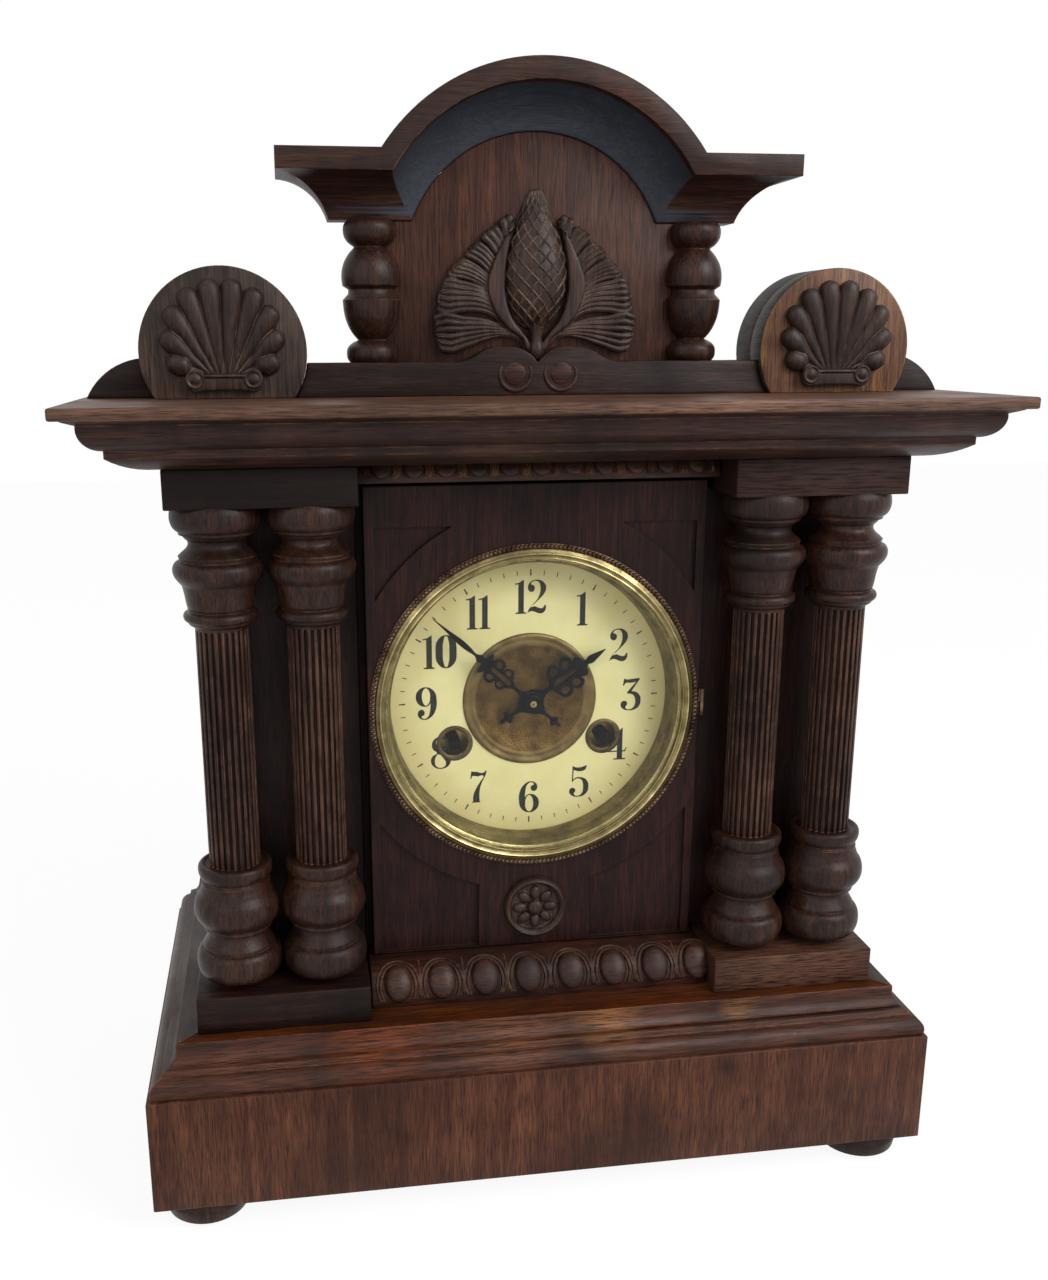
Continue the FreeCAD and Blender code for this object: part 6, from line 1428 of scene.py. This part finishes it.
# %% Egg and dart
def egg_row(name, centres, size, moulding):
    """Eggs, horseshoes and darts along one moulding."""
    def spot(x, share):
        depth, up, lean = on_round_front(share, *moulding)
        return (x, up, -depth)

    lines, eggs = [], []
    for centre in centres:
        for half_width, top, thick in ((0.4 * size, 0.87, 0.045 * size),
                                       (0.48 * size, 0.98, 0.035 * size)):
            line = []
            for step in range(13):
                angle = math.radians(-90 + 15 * step)
                share = 0.3 + (top - 0.3) * math.cos(angle)
                line.append((*spot(centre + half_width * math.sin(angle), share), thick))
            foot = [(*spot(centre - half_width * 0.86, 0.02), thick)]
            far_foot = [(*spot(centre + half_width * 0.86, 0.02), thick)]
            lines.append(foot + line + far_foot)
        lines.append([(*spot(centre + size / 2, share), thick * size)
                      for share, thick in ((0.98, 0.02), (0.6, 0.045), (0.12, 0.06),
                                           (0.02, 0.02))])
        depth, up, lean = on_round_front(0.4, *moulding)
        front, drop, low, high, swell = moulding
        egg = ball(20, 12)
        with editing(egg):
            bpy.ops.transform.resize(value=(0.325 * size, 0.47 * math.hypot(drop, high - low),
                                            0.17 * size))
        eggs.append(set_in(egg, place(centre, depth, up), (lean, 0, 0)))
    carved = ridges(name + "_ridges", lines, 1, 2)
    set_in(carved, place(0, 0, 0))
    return joined(name, [carved, *eggs])


lower_eggs = egg_row("egg_row_lower", [-63.9 + EGG_PITCH_LOWER * step for step in range(8)],
                     EGG_PITCH_LOWER, LOWER_FRONT)
upper_eggs = egg_row("egg_row_upper", [-66.0 + EGG_PITCH_UPPER * step for step in range(11)],
                     EGG_PITCH_UPPER, UPPER_FRONT)
for eggs in (lower_eggs, upper_eggs):
    finish_piece(eggs, "case", egg_alder)

# %% [markdown]
# ## Stage, light and camera
# A clock like this is photographed on white, under large soft lights. The world gives even
# light from all round. It must look pure white to the eye, and would then light the wood too
# strongly, so rays that reach the eye see a brighter world than the one that lights.

# %% White world
EVEN_LIGHT = 0.5
WHITE = (1, 1, 1, 1)


def seen_rays(tree):
    """1 for rays straight to the eye, through glass, or off a shiny surface."""
    rays = add(tree, "LightPath").outputs
    straight = add(tree, "Math", {0: rays["Is Camera Ray"], 1: rays["Is Transmission Ray"]},
                   operation="MAXIMUM")
    return add(tree, "Math", {0: straight, 1: rays["Is Glossy Ray"]}, operation="MAXIMUM")


bpy.context.scene.view_settings.view_transform = "Standard"
world = bpy.data.worlds.new("White studio")
bpy.context.scene.world = world
world.use_nodes = True
sky = world.node_tree
sky.nodes.clear()
even = add(sky, "Background", {"Color": WHITE, "Strength": EVEN_LIGHT})
white = add(sky, "Background", {"Color": WHITE, "Strength": 1.0})
both = add(sky, "MixShader", {0: seen_rays(sky), 1: even, 2: white})
add(sky, "OutputWorld", {"Surface": both})
print("world:", world.name)

# %% [markdown]
# The floor is a sheet of white paper with no edge in sight. It has to take the clock's soft
# shadow and still be as white as the world behind it, so it mixes matt paper with a white glow.

# %% Floor
FLOOR_SIZE = 6
PAPER_GREY = (0.86, 0.86, 0.86, 1)
GLOW = 1.065
GLOW_SHARE = 0.86
bpy.ops.object.select_all(action="DESELECT")
bpy.ops.mesh.primitive_plane_add(size=FLOOR_SIZE, location=(0, 0, 0))
floor = bpy.context.view_layer.objects.active
floor.name = "studio_floor"
# White that melts into the background, with only the shadow to show where the clock stands.
sheet, tree = new_material("White studio paper")
matt = add(tree, "BsdfDiffuse", {"Color": PAPER_GREY})
glow = add(tree, "Emission", {"Color": WHITE, "Strength": GLOW})
share = add(tree, "Math", {0: seen_rays(tree), 1: GLOW_SHARE}, operation="MULTIPLY")
mixed = add(tree, "MixShader", {0: share, 1: matt, 2: glow})
add(tree, "OutputMaterial", {"Surface": mixed})
floor.data.materials.append(sheet)
print(floor.name, FLOOR_SIZE, "m wide")

# %% [markdown]
# Two big area lamps in front add the soft sheen on the shellac. The stronger one stands on the
# right and rather high, and the weaker one fills the shadows from the left.

# %% Lamps
CLOCK_MIDDLE = (0, 0, 0.22)


def lamp(name, spot, size, watts):
    """A large soft lamp that faces the middle of the clock."""
    bpy.ops.object.light_add(type="AREA", location=spot)
    made = bpy.context.view_layer.objects.active
    made.name = name
    made.data.size = size
    made.data.energy = watts
    facing = Vector(CLOCK_MIDDLE) - Vector(spot)
    made.rotation_euler = facing.to_track_quat("-Z", "Y").to_euler()
    print(name, size, "m wide,", watts, "watts")


lamp("key_lamp", (0.8, -0.85, 0.95), 0.7, 13.5)
lamp("fill_lamp", (-1.1, -1.4, 1.1), 1.1, 4.5)

# %% [markdown]
# The camera stands a little left of the clock's middle and above it, looking right and down.
# Its direction is built from three angles, and a small shift of the lens centres the view.

# %% Camera
YAW, PITCH, ROLL = math.radians(8.39), math.radians(14.76), math.radians(0.25)
forward = Vector((math.sin(YAW) * math.cos(PITCH), math.cos(YAW) * math.cos(PITCH),
                  -math.sin(PITCH)))
right = Vector((math.cos(YAW), -math.sin(YAW), 0))
up = right.cross(forward)
tilt = Matrix.Rotation(ROLL, 3, forward)
right, up = tilt @ right, tilt @ up
bpy.ops.object.camera_add(location=(-0.10454, -0.55066, 0.36711))
camera = bpy.context.view_layer.objects.active
camera.rotation_euler = Matrix((right, up, -forward)).transposed().to_euler()
camera.data.lens = 35.03
camera.data.sensor_width = 36
camera.data.shift_x = 0.0428
camera.data.shift_y = 0.0229
camera.data.clip_start = 0.01
bpy.context.scene.camera = camera
print("camera with a lens of", round(camera.data.lens, 2), "mm")
